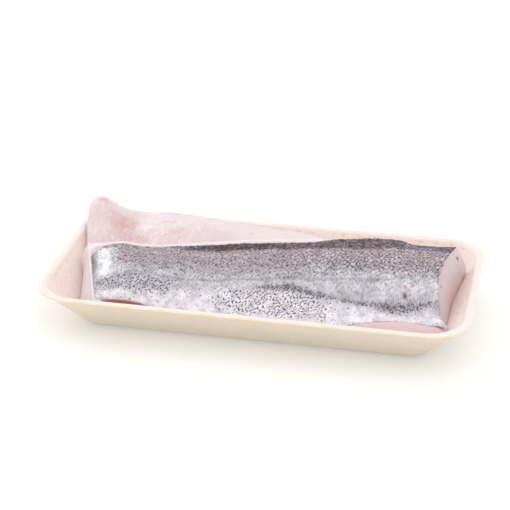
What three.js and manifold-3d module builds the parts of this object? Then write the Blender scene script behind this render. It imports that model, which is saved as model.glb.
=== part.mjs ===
// Two raw hake fillets, packed head to tail in a long foam tray, in millimetres.
// The near fillet lies skin up over the far one, which lies flesh up against the far wall.
// The origin is the middle of the tray's foot. X runs along the tray, Y from its near side
// to its far side, and Z up.
import * as THREE from 'three';
import { mergeVertices } from 'three/addons/utils/BufferGeometryUtils.js';
import Module from 'manifold-3d';

const wasm = await Module();
wasm.setup();

// Driving sizes of the tray, whose insets are measured in from the rim's outer edge.
const TRAY_LENGTH = 270;
const TRAY_WIDTH = 135;
const TRAY_HEIGHT = 28.5;
const FOAM = 3;
const LIP = 1.8;
const RIM_CORNER = 25;
const FLOOR_CORNER = 11;
const END_FLARE = 1.22; // the end walls lean out this much more than the side walls
const FOOT_INSET = 27;
const BEND_INSET = 17.5;
const BEND_HEIGHT = 6.5;
const FLANGE = 4.2;
const CORNER_STEPS = 7;
const SIDE_STEPS = 8;
const END_STEPS = 3;

// Driving sizes of the fish.
const GAP = 0.3; // kept between pieces that touch
const EDGE_PUSH = 1.5; // a gap grows this much, to be kept beside sharp edges too
const SKIN = 1;
const DOME = 10.5; // how far the near fillet's skin stands above its chord
const CREASE = 5; // depth of the furrow above the belly flap
const CREASE_AT = 0.2; // shares of the way from the belly edge to the ridge
const CREASE_WIDTH = 0.09;
const HEAD_RETREAT = 7.5; // how far the skin draws back in the middle of the head cut
const HEAD_BULGE = 8; // how far each cut leans out below the skin
const TAIL_BULGE = [15, 5]; // at the belly edge and at the ridge
const BULGE_DEPTH = 9; // the depth in which most of that lean is reached
const TAIL_FLAT = 0.85; // share of the dome that is lost at the tail cut
const TAIL_BARE = 2; // flesh left bare past the skin at the tail cut
const TAIL_ROUNDING = 9; // how far the skin's corner is drawn back there along the ridge
const RIDGE_BARE = 0.02; // shares of the width left bare along the ridge and the belly edge
const BELLY_BARE = 0.085;
const DEPTH = 46; // deeper than any fillet, so that what lies below shapes its underside
const HEADROOM = 90;

// Grid steps of the fillets: along, across and through.
const NEAR_STEPS = [42, 14, 3];
const SKIN_STEPS = [42, 13, 1];
const FAR_STEPS = [40, 14, 2];

/** A smooth curve through a few points, from the left end of the tray to the right. */
function curve(points) {
  return new THREE.CatmullRomCurve3(points.map((p) => new THREE.Vector3(...p)));
}

// The near fillet's two long edges: the ridge where the back was cut, and the belly edge.
const RIDGE = curve([
  [-118, 2, 33.5], [-105, 1.5, 35.4], [-94, 3, 37], [-79, 5.5, 34.5], [-52, 10, 36],
  [-13, 16, 39.2], [19, 21, 40.6], [50, 26, 42], [70, 29, 42.8], [82, 31, 41.5],
  [92, 32, 39], [118, 33, 39.3],
]);
const BELLY = curve([
  [-98, -51.5, 21.5], [-75, -52, 21.5], [-30, -53, 19.5], [40, -53, 19], [90, -51, 19.5],
  [120, -43, 18],
]);

// The far fillet's outline seen from above, and the height of its flesh along both edges.
const FAR_BACK = curve([
  [-134, 63, 34], [-103, 66, 34.5], [-75, 66, 35], [-52, 66, 33.6], [-30, 65, 31],
  [-12, 64.5, 29.3], [10, 63, 28], [36, 59.5, 24.3], [70, 53, 17], [104, 44, 11.5],
]);
const FAR_FRONT = curve([
  [-115, -12, 14], [-95, -22, 12], [-50, -24, 11], [0, -20, 10], [50, -8, 9], [104, 18, 8],
]);
const FAR_CROWN = 4.5;
const FAR_ROUNDING = 3; // how far the flesh falls away at its edges
const FAR_WALL = [55, 62]; // where it starts to do so beside the tray's far wall
const FAR_END_SLANT = 0.3;
const FAR_BARE_END = 12; // bare flesh past the skin at the thick end
const FAR_BARE_EDGE = 2.5; // and above it along the far wall

// Swellings and hollows of the far fillet's flesh: where, how wide along X and Y, how high.
const SWELLINGS = [
  { x: -123, y: 47, wide: 11, deep: 15, rise: 12 },
  { x: -112, y: 26, wide: 14, deep: 16, rise: 5 },
  { x: -97, y: 40, wide: 9, deep: 15, rise: -3.5 },
  { x: -55, y: 44, wide: 34, deep: 10, rise: 1.5 },
  { x: 0, y: 34, wide: 30, deep: 12, rise: 2 },
];

/** Eases from 0 at low to 1 at high. */
function ease(low, high, value) {
  return THREE.MathUtils.smoothstep(value, low, high);
}

/** A bell-shaped hump, 1 at its middle. */
function hump(distance) {
  return Math.exp(-distance * distance);
}

/** The points of one level outline of the tray, counterclockwise, at an inset and a height. */
function trayOutline(inset, height, shrink = 1) {
  const halfLength = TRAY_LENGTH / 2 - inset * THREE.MathUtils.lerp(1, END_FLARE, inset / FOOT_INSET);
  const halfWidth = TRAY_WIDTH / 2 - inset;
  const corner = THREE.MathUtils.lerp(RIM_CORNER, FLOOR_CORNER, Math.min(1, inset / FOOT_INSET));
  const points = [];
  for (let quarter = 0; quarter < 4; quarter += 1) {
    const sideX = quarter === 0 || quarter === 3 ? 1 : -1;
    const sideY = quarter < 2 ? 1 : -1;
    for (let step = 0; step <= CORNER_STEPS; step += 1) {
      const angle = (quarter + step / CORNER_STEPS) * Math.PI / 2;
      points.push([
        sideX * (halfLength - corner) + corner * Math.cos(angle),
        sideY * (halfWidth - corner) + corner * Math.sin(angle),
      ]);
    }
    const next = quarter % 2 === 0 ? [-sideX, sideY] : [sideX, -sideY];
    const straight = quarter % 2 === 0
      ? [next[0] * (halfLength - corner), sideY * halfWidth]
      : [sideX * halfLength, next[1] * (halfWidth - corner)];
    const from = points[points.length - 1];
    const steps = quarter % 2 === 0 ? SIDE_STEPS : END_STEPS;
    for (let step = 1; step < steps; step += 1) {
      const share = step / steps;
      points.push([
        THREE.MathUtils.lerp(from[0], straight[0], share),
        THREE.MathUtils.lerp(from[1], straight[1], share),
      ]);
    }
  }
  return points.map(([x, y]) => [x * shrink, y * shrink, height]);
}

/** A solid through a column of level outlines, made from a lathe whose circle is pulled out to them. */
function trayLathe(levels) {
  const outlines = levels.map((level) => trayOutline(...level));
  const around = outlines[0].length;
  const profile = levels.map((level, row) => new THREE.Vector2(1, row));
  const shape = new THREE.LatheGeometry(profile, around);
  const position = shape.getAttribute('position');
  for (let segment = 0; segment <= around; segment += 1) {
    outlines.forEach((outline, row) => {
      position.setXYZ(segment * levels.length + row, ...outline[segment % around]);
    });
  }
  return bare(shape);
}

/** The inner face of the tray as levels from the floor's middle to the rim, drawn in by a clearance. */
function innerLevels(clearance) {
  const lean = clearance * 1.25;
  const floor = FOAM + clearance;
  return [
    [FOOT_INSET + 1.5, floor, 0],
    [FOOT_INSET + 1.5, floor, 0.5],
    [FOOT_INSET + 1.5 + lean * 0.3, floor],
    [FOOT_INSET - 3 + lean * 0.5, floor + 0.8],
    [BEND_INSET + 2.6 + lean, BEND_HEIGHT + 2.4],
    [FLANGE + 1.6 + lean, TRAY_HEIGHT - 2.2],
    [FLANGE + 0.5 + lean, TRAY_HEIGHT - 0.6],
  ];
}

/** The tray: a foamed sheet with a flat foot, leaning walls and a narrow turned-out rim. */
function tray() {
  return trayLathe([
    [FOOT_INSET, 0, 0],
    [FOOT_INSET, 0, 0.5],
    [FOOT_INSET, 0],
    [FOOT_INSET - 5.5, 1.3],
    [BEND_INSET, BEND_HEIGHT],
    [FLANGE, TRAY_HEIGHT - 4.2],
    [FLANGE - 1, TRAY_HEIGHT - LIP - 0.8],
    [0.6, TRAY_HEIGHT - LIP],
    [0, TRAY_HEIGHT - LIP + 0.6],
    [0, TRAY_HEIGHT - 0.5],
    [0.6, TRAY_HEIGHT],
    [FLANGE - 0.6, TRAY_HEIGHT],
    ...innerLevels(0).reverse(),
  ]);
}

/** What fits in the tray with a clearance to its inner face, open upwards. */
function cavity(clearance) {
  const levels = innerLevels(clearance);
  const [mouth] = levels[levels.length - 1];
  return solid(trayLathe([...levels, [mouth, HEADROOM], [mouth, HEADROOM, 0]]));
}

/** The geometry with its positions alone, and its equal vertices merged. */
function bare(shape) {
  shape.deleteAttribute('normal');
  shape.deleteAttribute('uv');
  return mergeVertices(shape, 1e-3);
}

/** Pushes every side of a box out by a clearance, while its sides still share no vertex. */
function swell(box, clearance) {
  box.computeVertexNormals();
  const position = box.getAttribute('position');
  const normal = box.getAttribute('normal');
  const pushes = new Map();
  const corners = Array.from({ length: position.count }, (_, i) => {
    const corner = new THREE.Vector3().fromBufferAttribute(position, i);
    const key = corner.toArray().map((value) => value.toFixed(3)).join();
    const push = pushes.get(key) ?? new THREE.Vector3();
    pushes.set(key, push.add(new THREE.Vector3().fromBufferAttribute(normal, i)));
    return { corner, push };
  });
  corners.forEach(({ corner, push }, i) => {
    corner.addScaledVector(push, clearance * EDGE_PUSH);
    position.setXYZ(i, corner.x, corner.y, corner.z);
  });
}

/**
 * A slab whose every grid point is placed by a function of its shares along, across and
 * through, and then pushed out square to its sides by a clearance.
 */
function slab(steps, place, clearance = 0) {
  const box = new THREE.BoxGeometry(1, 1, 1, ...steps);
  const position = box.getAttribute('position');
  for (let i = 0; i < position.count; i += 1) {
    const point = place(position.getX(i) + 0.5, position.getY(i) + 0.5, position.getZ(i) + 0.5);
    position.setXYZ(i, point.x, point.y, point.z);
  }
  swell(box, clearance);
  return solid(bare(box));
}

/** A closed geometry as a solid that can be cut. */
function solid(shape) {
  return new wasm.Manifold(new wasm.Mesh({
    numProp: 3,
    vertProperties: shape.getAttribute('position').array,
    triVerts: new Uint32Array(shape.index.array),
  }));
}

/** The largest body of a cut solid, as a geometry. */
function geometryOf(cut) {
  const [largest] = cut.decompose().sort((a, b) => b.volume() - a.volume());
  const mesh = largest.getMesh();
  return new THREE.BufferGeometry()
    .setAttribute('position', new THREE.BufferAttribute(mesh.vertProperties, 3))
    .setIndex(new THREE.BufferAttribute(mesh.triVerts, 1));
}

/** The near fillet's chord from its belly edge to its ridge, and the way out square to it. */
function chordAt(along) {
  const foot = BELLY.getPointAt(along);
  const chord = RIDGE.getPointAt(along).sub(foot);
  const outward = new THREE.Vector3(0, -chord.z, chord.y).normalize();
  return { foot, chord, outward };
}

/** A point of the near fillet's outer face: along from tail to head, across from belly to ridge. */
function skinPoint(along, across) {
  const { foot, chord, outward } = chordAt(along);
  const headward = ease(0.45, 0.75, along);
  const fullness = (0.88 + 0.12 * headward) * (1 - TAIL_FLAT * (1 - ease(0, 0.09, along)));
  const rise = DOME * fullness * Math.sin(Math.PI * across)
    - CREASE * headward * hump((across - CREASE_AT) / CREASE_WIDTH);
  const point = foot.addScaledVector(chord, across).addScaledVector(outward, rise);
  point.x -= HEAD_RETREAT * Math.sin(Math.PI * across ** 0.85) * ease(0.86, 1, along);
  return point;
}

/** The way from the near fillet's skin down to a depth of its flesh, leaning out at both cuts. */
function intoFlesh(along, across, depth) {
  const lean = 1 - Math.exp(-depth / BULGE_DEPTH);
  const tailward = THREE.MathUtils.lerp(...TAIL_BULGE, across) * (1 - ease(0, 0.2, along));
  const headward = HEAD_BULGE * ease(0.85, 1, along);
  return new THREE.Vector3((headward - tailward) * lean, (0.12 - 0.24 * across) * depth, -depth);
}

/** The near fillet's flesh before its skin and its neighbours are taken out of it. */
function nearFlesh() {
  return slab(NEAR_STEPS, (along, across, through) => (
    skinPoint(along, across).add(intoFlesh(along, across, DEPTH * (1 - through) ** 1.5))
  ));
}

/** The near fillet's skin, which stops short of the flesh at the tail cut and along the belly. */
function nearSkin(clearance) {
  const length = RIDGE.getLength();
  return slab(SKIN_STEPS, (along, across, through) => {
    const rounding = TAIL_ROUNDING * ease(0.75, 1, across) ** 2;
    const alongSkin = THREE.MathUtils.lerp((TAIL_BARE + rounding) / length, 1, along);
    const low = 0.02 + BELLY_BARE * ease(0.66, 0.8, alongSkin) * (1 - 0.6 * ease(0.93, 1, alongSkin));
    const high = 1 - RIDGE_BARE * (1 - ease(0.5, 0.7, alongSkin));
    const acrossSkin = THREE.MathUtils.lerp(low, high, across);
    return skinPoint(alongSkin, acrossSkin)
      .addScaledVector(chordAt(alongSkin).outward, SKIN * (through - 1));
  }, clearance);
}

/** The far fillet before the tray shapes its underside, swollen by a clearance. */
function farFillet(clearance) {
  return slab(FAR_STEPS, (along, across, through) => {
    const front = FAR_FRONT.getPointAt(along);
    const back = FAR_BACK.getPointAt(along);
    const point = front.clone().lerp(back, across);
    point.z = THREE.MathUtils.lerp(front.z, back.z, across ** 0.8)
      + FAR_CROWN * Math.sin(Math.PI * across);
    SWELLINGS.forEach(({ x, y, wide, deep, rise }) => {
      point.z += rise * hump((point.x - x) / wide) * hump((point.y - y) / deep);
    });
    const nearEdge = 1 - ease(0, 0.08, Math.min(across, 1 - across));
    point.z -= FAR_ROUNDING * Math.max(nearEdge, ease(...FAR_WALL, point.y) ** 2);
    const depth = (1 - through) * (point.z + 4);
    const ends = (along < 0.5 ? -1 : 1) * hump(Math.min(along, 1 - along) / 0.06);
    point.x += ends * FAR_END_SLANT * depth;
    point.z -= depth;
    return point;
  }, clearance);
}

/** A named piece of the model. */
function piece(name, geometry, color, roughness) {
  const material = new THREE.MeshStandardMaterial({ color, roughness, metalness: 0 });
  const mesh = new THREE.Mesh(geometry, material);
  mesh.name = name;
  return mesh;
}

const room = cavity(GAP);
const far = farFillet(0);
const farLowered = far.translate([0, 0, -FAR_BARE_EDGE]);
const farBacked = farLowered.intersect(farLowered.translate([FAR_BARE_END, 0, 0])).intersect(far);
const farSkin = farBacked.intersect(room).subtract(cavity(GAP + SKIN));
const farFlesh = far.intersect(cavity(GAP + SKIN + GAP));
const farSwollen = farFillet(GAP);
const nearRoom = room.subtract(farSwollen);
const nearCut = nearFlesh().intersect(nearRoom).subtract(nearSkin(GAP));

const part = new THREE.Group();
part.name = 'hake_fillets_in_tray';
part.add(
  piece('tray', tray(), 0xf4e8dc, 0.85),
  piece('near_fillet_flesh', geometryOf(nearCut), 0xe8d5d3, 0.4),
  piece('near_fillet_skin', geometryOf(nearSkin(0).intersect(nearRoom)), 0xa5a3a8, 0.3),
  piece('far_fillet_flesh', geometryOf(farFlesh), 0xe9d6d4, 0.4),
  piece('far_fillet_skin', geometryOf(farSkin), 0x8f8c90, 0.3),
);

export default part;
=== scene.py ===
"""Two raw hake fillets, packed head to tail in a long foam tray, dressed for the camera.

The near fillet lies skin up over the far one, which lies flesh up against the far wall of the
tray. The classes work in millimetres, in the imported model's own frame: X along the tray, Y from
its near side to its far side, Z up from its foot. A mesh is turned to metres when it is placed.
On the near fillet, along runs from 0 at its tail cut, on the left, to 1 at its head cut, and
across from 0 at its belly edge to 1 at the ridge where the back was cut.
"""

import logging
import math
from collections.abc import Sequence
from dataclasses import dataclass, field
from enum import Enum

import bmesh
import bpy
import numpy as np
from mathutils import Matrix, Vector, noise
from mathutils.bvhtree import BVHTree


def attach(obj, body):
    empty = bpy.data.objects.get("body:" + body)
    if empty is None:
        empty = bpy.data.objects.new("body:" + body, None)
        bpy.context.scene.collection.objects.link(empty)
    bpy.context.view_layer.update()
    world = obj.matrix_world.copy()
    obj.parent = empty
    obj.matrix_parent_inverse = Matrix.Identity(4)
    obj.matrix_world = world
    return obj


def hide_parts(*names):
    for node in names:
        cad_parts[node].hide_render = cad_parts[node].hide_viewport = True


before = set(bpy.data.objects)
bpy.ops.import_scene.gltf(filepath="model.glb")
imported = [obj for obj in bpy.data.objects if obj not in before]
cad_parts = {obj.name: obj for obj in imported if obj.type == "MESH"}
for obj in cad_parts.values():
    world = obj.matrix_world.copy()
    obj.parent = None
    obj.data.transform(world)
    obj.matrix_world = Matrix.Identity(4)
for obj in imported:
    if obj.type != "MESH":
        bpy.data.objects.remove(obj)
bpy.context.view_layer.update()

LOG = logging.getLogger("hake_tray")
BODY = "root"
MM = 0.001
SKY = 200.0  # a height above everything, from which a probe looks down
GAP = 0.3  # kept between a skin and what it lies on
PRESS = 0.6  # how deep soft flesh is pressed into what it lies on
SETTLINGS = 4  # times that a leaning side looks again for what it rests on

Numbers = np.ndarray
Shape = bmesh.types.BMesh
Node = bpy.types.Node
Socket = bpy.types.NodeSocket
Colour = tuple[float, float, float]
Point = tuple[float, float, float]
Stops = tuple[tuple[float, float], ...]


class Sum(Enum):
    """The arithmetic that the materials use."""

    ADD = "ADD"
    SUBTRACT = "SUBTRACT"
    MULTIPLY = "MULTIPLY"
    MOST = "MAXIMUM"


def paint(code: str) -> Colour:
    """Turn a colour as it is seen, such as 'e8d5d3', into linear light.

    Args:
        code: Red, green and blue in hexadecimal.

    Returns:
        The linear colour.
    """
    seen = (int(code[start : start + 2], 16) / 255 for start in (0, 2, 4))
    return tuple(((c + 0.055) / 1.055) ** 2.4 if c > 0.04045 else c / 12.92 for c in seen)


# Shares, curves and relief


def ease(low: float, high: float, value: Numbers) -> Numbers:
    """Rise smoothly from 0 at low to 1 at high.

    Args:
        low: Value that gives 0.
        high: Value that gives 1.
        value: Values to ease.

    Returns:
        The eased values.
    """
    share = np.clip((value - low) / (high - low), 0.0, 1.0)
    return share * share * (3.0 - 2.0 * share)


def hump(distance: Numbers) -> Numbers:
    """Return a bell that is 1 at its middle."""
    return np.exp(-distance * distance)


def line(stops: Stops, places: Numbers) -> Numbers:
    """Follow a broken line.

    Args:
        stops: Pairs of a place and the value there.
        places: Where to read the line.

    Returns:
        The values at those places.
    """
    at, values = zip(*stops)
    return np.interp(places, at, values)


@dataclass(frozen=True)
class Mound:
    """A soft oval rise or hollow."""

    x: float
    y: float
    wide: float
    deep: float
    rise: float

    def at(self, x: Numbers, y: Numbers) -> Numbers:
        """Return how high it is at these places."""
        return self.rise * hump((x - self.x) / self.wide) * hump((y - self.y) / self.deep)


@dataclass(frozen=True)
class Relief:
    """Smooth random relief, of a height and a width of bump in millimetres."""

    height: float
    size: float
    octaves: int = 2  # how many finer layers are added
    patch: float = 0.0  # picks another part of the same relief

    def at(self, places: Numbers) -> Numbers:
        """Read the relief.

        Args:
            places: Places in millimetres, one row each, of up to three columns.

        Returns:
            A rise or fall for each place, seldom more than the height.
        """
        spots = np.zeros((len(places), 3))
        spots[:, : places.shape[1]] = places
        spots = spots / self.size + self.patch
        rises = [noise.fractal(Vector(spot), 1.0, 2.0, self.octaves) for spot in spots]
        return self.height * np.array(rises)


@dataclass(frozen=True)
class Course:
    """A smooth curve through a few points, walked by its length."""

    points: tuple[Point, ...]
    steps: int = 40

    def _walk(self) -> tuple[Numbers, Numbers]:
        """Step along the curve.

        Returns:
            Closely spaced points of the curve, and the length up to each.
        """
        given = np.array(self.points)
        padded = np.vstack([2 * given[0] - given[1], given, 2 * given[-1] - given[-2]])
        share = np.linspace(0.0, 1.0, self.steps)[:, None]
        spans = []
        for a, b, c, d in zip(padded, padded[1:], padded[2:], padded[3:]):
            before, here, after = (
                math.sqrt(np.linalg.norm(end - start)) for start, end in ((a, b), (b, c), (c, d))
            )
            leave = ((b - a) / before - (c - a) / (before + here) + (c - b) / here) * here
            arrive = ((c - b) / here - (d - b) / (here + after) + (d - c) / after) * here
            square = (3 * (c - b) - 2 * leave - arrive) * share**2
            cube = (2 * (b - c) + leave + arrive) * share**3
            spans.append(b + leave * share + square + cube)
        walk = np.vstack(spans)
        lengths = np.linalg.norm(np.diff(walk, axis=0), axis=1)
        return walk, np.concatenate([[0.0], np.cumsum(lengths)])

    def at(self, shares: Numbers) -> Numbers:
        """Find points of the curve.

        Args:
            shares: Shares of the curve's length.

        Returns:
            The points, one row each.
        """
        walk, lengths = self._walk()
        places = shares * lengths[-1]
        return np.stack([np.interp(places, lengths, walk[:, axis]) for axis in range(3)], axis=-1)

    def length(self) -> float:
        """Return the curve's length."""
        return float(self._walk()[1][-1])


# Meshes


def fine_box(along: int, across: int, through: int) -> Shape:
    """Make a box from 0 to 1 whose sides are split into even steps.

    Args:
        along: Steps along X.
        across: Steps along Y.
        through: Steps along Z.

    Returns:
        The box, ready to be shaped.
    """
    box = bmesh.new()
    bmesh.ops.create_cube(box, size=1.0, matrix=Matrix.Translation((0.5, 0.5, 0.5)))
    for axis, steps in enumerate((along, across, through)):
        edges = [e for e in box.edges if abs(e.verts[0].co[axis] - e.verts[1].co[axis]) > 0.5]
        bmesh.ops.subdivide_edges(box, edges=edges, cuts=steps - 1, use_grid_fill=True)
    return box


def read_points(shape: Shape) -> Numbers:
    """Return the vertices of a mesh, one row each."""
    return np.array([vertex.co[:] for vertex in shape.verts])


def move_points(shape: Shape, places: Numbers) -> None:
    """Put every vertex of a mesh at its new place."""
    for vertex, place in zip(shape.verts, places):
        vertex.co = place


def resting_height(carriers: Sequence[tuple[BVHTree, float]], x: Numbers, y: Numbers) -> Numbers:
    """Find how low a thing can reach before it meets what carries it.

    Args:
        carriers: The shapes that may carry it, each with the gap kept to it.
        x: Places along the tray.
        y: Places across the tray.

    Returns:
        The lowest free height at each place.
    """
    steepest = 0.35
    heights = np.zeros(len(x))
    down = Vector((0.0, 0.0, -1.0))
    for tree, gap in carriers:
        for index, (px, py) in enumerate(zip(x, y)):
            hit, normal, _, _ = tree.ray_cast(Vector((px, py, SKY)), down)
            if hit is not None:
                free = hit.z + gap / max(abs(normal.z), steepest)
                heights[index] = max(heights[index], free)
    return heights


@dataclass(frozen=True)
class Stain:
    """A soft spot of another colour."""

    centre: tuple[float, ...]
    spread: tuple[float, ...]
    strength: float
    colour: Colour


def lay_over(tones: Numbers, colour: Colour, share: Numbers) -> Numbers:
    """Lay a colour over the tones of a piece.

    Args:
        tones: The colours so far, one row each.
        colour: The colour to lay over them.
        share: How much of it shows at each place.

    Returns:
        The new colours.
    """
    return tones + (np.array(colour) - tones) * np.clip(share, 0.0, 1.0)[:, None]


def layer(ground: Colour, layers: Sequence[tuple[Colour, Numbers]]) -> Numbers:
    """Lay colours over a ground, one after the other.

    Args:
        ground: The lowest colour.
        layers: Each further colour, with how much of it shows at each place.

    Returns:
        The tones, one row for each place.
    """
    tones = np.tile(ground, (len(layers[0][1]), 1))
    for colour, share in layers:
        tones = lay_over(tones, colour, share)
    return tones


def stain(tones: Numbers, places: Numbers, stains: Sequence[Stain]) -> Numbers:
    """Lay soft spots over the tones of a piece.

    Args:
        tones: The colours so far, one row each.
        places: Where those colours are, in the same terms as the spots' centres.
        stains: The spots.

    Returns:
        The new colours.
    """
    for spot in stains:
        apart = (places - np.array(spot.centre)) / np.array(spot.spread)
        share = spot.strength * np.exp(-((apart**2).sum(axis=1) ** 1.5))
        tones = lay_over(tones, spot.colour, share)
    return tones


@dataclass
class Piece:
    """A shaped mesh with what its finish reads from it."""

    name: str
    node: str
    slot: str
    shape: Shape
    tones: Numbers | None = None
    masks: dict[str, Numbers | float] = field(default_factory=dict)
    maps: dict[str, Numbers] = field(default_factory=dict)

    def surface(self) -> BVHTree:
        """Return the shape as something to rest on, before it is placed."""
        return BVHTree.FromBMesh(self.shape)

    def place(self, material: bpy.types.Material) -> bpy.types.Object:
        """Write the mesh in metres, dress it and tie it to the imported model.

        Args:
            material: The finish.

        Returns:
            The new object.
        """
        mesh = bpy.data.meshes.new(self.name)
        bmesh.ops.recalc_face_normals(self.shape, faces=self.shape.faces[:])
        bmesh.ops.scale(self.shape, vec=(MM, MM, MM), verts=self.shape.verts[:])
        self.shape.to_mesh(mesh)
        self.shape.free()
        mesh.shade_smooth()
        mesh.materials.append(material)
        corners = np.empty(len(mesh.loops), dtype=np.int32)
        mesh.loops.foreach_get("vertex_index", corners)
        for name, pairs in self.maps.items():
            layer = mesh.uv_layers.new(name=name)
            layer.data.foreach_set("uv", pairs[corners].astype(np.float32).ravel())
        for name, values in self.masks.items():
            mask = mesh.attributes.new(name, "FLOAT", "POINT")
            mask.data.foreach_set("value", np.full(len(mesh.vertices), values, np.float32))
        if self.tones is not None:
            opaque = np.column_stack([self.tones, np.ones(len(self.tones))])
            tone = mesh.attributes.new("tone", "FLOAT_COLOR", "POINT")
            tone.data.foreach_set("color", opaque.astype(np.float32).ravel())
        thing = bpy.data.objects.new(self.name, mesh)
        bpy.context.scene.collection.objects.link(thing)
        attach(thing, BODY)
        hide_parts(self.node)
        LOG.info("%s: %d faces, in place of %s", self.name, len(mesh.polygons), self.node)
        return thing


# Materials


@dataclass(frozen=True)
class Speckle:
    """Smooth noise, cut to a mask between a low and a high value of it."""

    scale: float  # bumps to a unit of place
    low: float
    high: float
    start: float = 0.0
    end: float = 1.0
    detail: float = 2.0
    roughness: float = 0.5


class Graph:
    """A node tree built by short calls, most of which return the socket they make."""

    def __init__(self, tree: bpy.types.NodeTree) -> None:
        """Start on a tree, which may already hold nodes."""
        self.tree = tree

    def node(self, kind: str, **settings: object) -> Node:
        """Add a node.

        Args:
            kind: Blender's name for the node.
            settings: Properties to set on it.

        Returns:
            The node.
        """
        made = self.tree.nodes.new(kind)
        for name, value in settings.items():
            setattr(made, name, value)
        return made

    def feed(self, socket: Socket, value: object) -> None:
        """Link a socket to another one, or set it to a plain value.

        Args:
            socket: The input.
            value: A socket, a number, a colour or a vector.
        """
        if isinstance(value, Socket):
            self.tree.links.new(value, socket)
        elif socket.type == "RGBA":
            socket.default_value = (*value, 1.0)
        else:
            socket.default_value = value

    def sum(self, kind: Sum, first: object, second: object) -> Socket:
        """Work out a sum of two values.

        Args:
            kind: The kind of sum.
            first: The first value.
            second: The second value.

        Returns:
            The result.
        """
        made = self.node("ShaderNodeMath", operation=kind.value)
        self.feed(made.inputs[0], first)
        self.feed(made.inputs[1], second)
        return made.outputs[0]

    def product(self, *factors: object) -> Socket:
        """Multiply two or more values.

        Args:
            factors: The values.

        Returns:
            Their product.
        """
        result = factors[0]
        for factor in factors[1:]:
            result = self.sum(Sum.MULTIPLY, result, factor)
        return result

    def ramp(
        self, value: object, low: float, high: float, start: float = 0.0, end: float = 1.0
    ) -> Socket:
        """Ease a value from one range to another.

        Args:
            value: What is eased.
            low: The value that gives start.
            high: The value that gives end.
            start: Result at low.
            end: Result at high.

        Returns:
            The eased value.
        """
        made = self.node("ShaderNodeMapRange", interpolation_type="SMOOTHSTEP")
        for index, number in enumerate((value, low, high, start, end)):
            self.feed(made.inputs[index], number)
        return made.outputs[0]

    def mix(self, share: object, first: object, second: object) -> Socket:
        """Lay the second colour over the first.

        Args:
            share: How much of the second colour shows.
            first: The lower colour.
            second: The upper colour.

        Returns:
            The mixed colour.
        """
        share_in, first_in, second_in, colour_out = 0, 6, 7, 2
        made = self.node("ShaderNodeMix", data_type="RGBA")
        self.feed(made.inputs[share_in], share)
        self.feed(made.inputs[first_in], first)
        self.feed(made.inputs[second_in], second)
        return made.outputs[colour_out]

    def shade(self, colour: object, factor: object) -> Socket:
        """Make a colour lighter or darker.

        Args:
            colour: The colour.
            factor: What it is multiplied by.

        Returns:
            The new colour.
        """
        made = self.node("ShaderNodeVectorMath", operation="SCALE")
        self.feed(made.inputs[0], colour)
        self.feed(made.inputs["Scale"], factor)
        return made.outputs[0]

    def grain(
        self, place: object, scale: float, detail: float = 2.0, roughness: float = 0.5
    ) -> Socket:
        """Return smooth noise.

        Args:
            place: Where it is read.
            scale: Bumps to a unit of place.
            detail: How many finer layers are added.
            roughness: How strong those layers are.

        Returns:
            Values from 0 to 1, mostly near the middle.
        """
        made = self.node("ShaderNodeTexNoise")
        self.feed(made.inputs["Vector"], place)
        made.inputs["Scale"].default_value = scale
        made.inputs["Detail"].default_value = detail
        made.inputs["Roughness"].default_value = roughness
        return made.outputs["Fac"]

    def speckle(self, place: object, speckle: Speckle) -> Socket:
        """Return a mask of noise.

        Args:
            place: Where it is read.
            speckle: The noise, and how it is cut.

        Returns:
            The mask.
        """
        cloud = self.grain(place, speckle.scale, speckle.detail, speckle.roughness)
        return self.ramp(cloud, speckle.low, speckle.high, speckle.start, speckle.end)

    def place(self) -> Socket:
        """Return the place on the piece, in metres."""
        return self.node("ShaderNodeTexCoord").outputs["Object"]

    def mask(self, name: str) -> Socket:
        """Return a mask that the piece carries."""
        return self.node("ShaderNodeAttribute", attribute_name=name).outputs["Fac"]

    def tone(self) -> Socket:
        """Return the colour that the piece carries."""
        return self.node("ShaderNodeAttribute", attribute_name="tone").outputs["Color"]

    def map(self, name: str) -> Socket:
        """Return a UV map that the piece carries."""
        return self.node("ShaderNodeUVMap", uv_map=name).outputs[0]

    def turned(self, place: object, angle: float, scale: Point) -> Socket:
        """Turn a flat place, and then scale it.

        Args:
            place: The place.
            angle: The turn in degrees.
            scale: Factors along each axis.

        Returns:
            The new place.
        """
        turn = self.node("ShaderNodeVectorRotate", rotation_type="Z_AXIS")
        self.feed(turn.inputs["Vector"], place)
        turn.inputs["Angle"].default_value = math.radians(angle)
        return self.stretched(turn.outputs[0], scale)

    def stretched(self, place: object, scale: Point) -> Socket:
        """Scale a place along each axis.

        Args:
            place: The place.
            scale: Factors along each axis.

        Returns:
            The new place.
        """
        made = self.node("ShaderNodeVectorMath", operation="MULTIPLY")
        self.feed(made.inputs[0], place)
        made.inputs[1].default_value = scale
        return made.outputs[0]

    def bump(self, height: object, depth: float, under: Socket | None = None) -> Socket:
        """Return a normal raised by a height.

        Args:
            height: Height from 0 to 1.
            depth: What a height of 1 stands for, in metres.
            under: Normal that the relief lies on.

        Returns:
            The new normal.
        """
        made = self.node("ShaderNodeBump")
        made.inputs["Distance"].default_value = depth
        self.feed(made.inputs["Height"], height)
        if under is not None:
            self.feed(made.inputs["Normal"], under)
        return made.outputs[0]

    def group(self, tree: bpy.types.NodeTree, **values: object) -> Node:
        """Place a node group and feed its inputs.

        Args:
            tree: The group.
            values: What each named input gets.

        Returns:
            The group's node.
        """
        made = self.node("ShaderNodeGroup", node_tree=tree)
        for name, value in values.items():
            self.feed(made.inputs[name], value)
        return made


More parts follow.
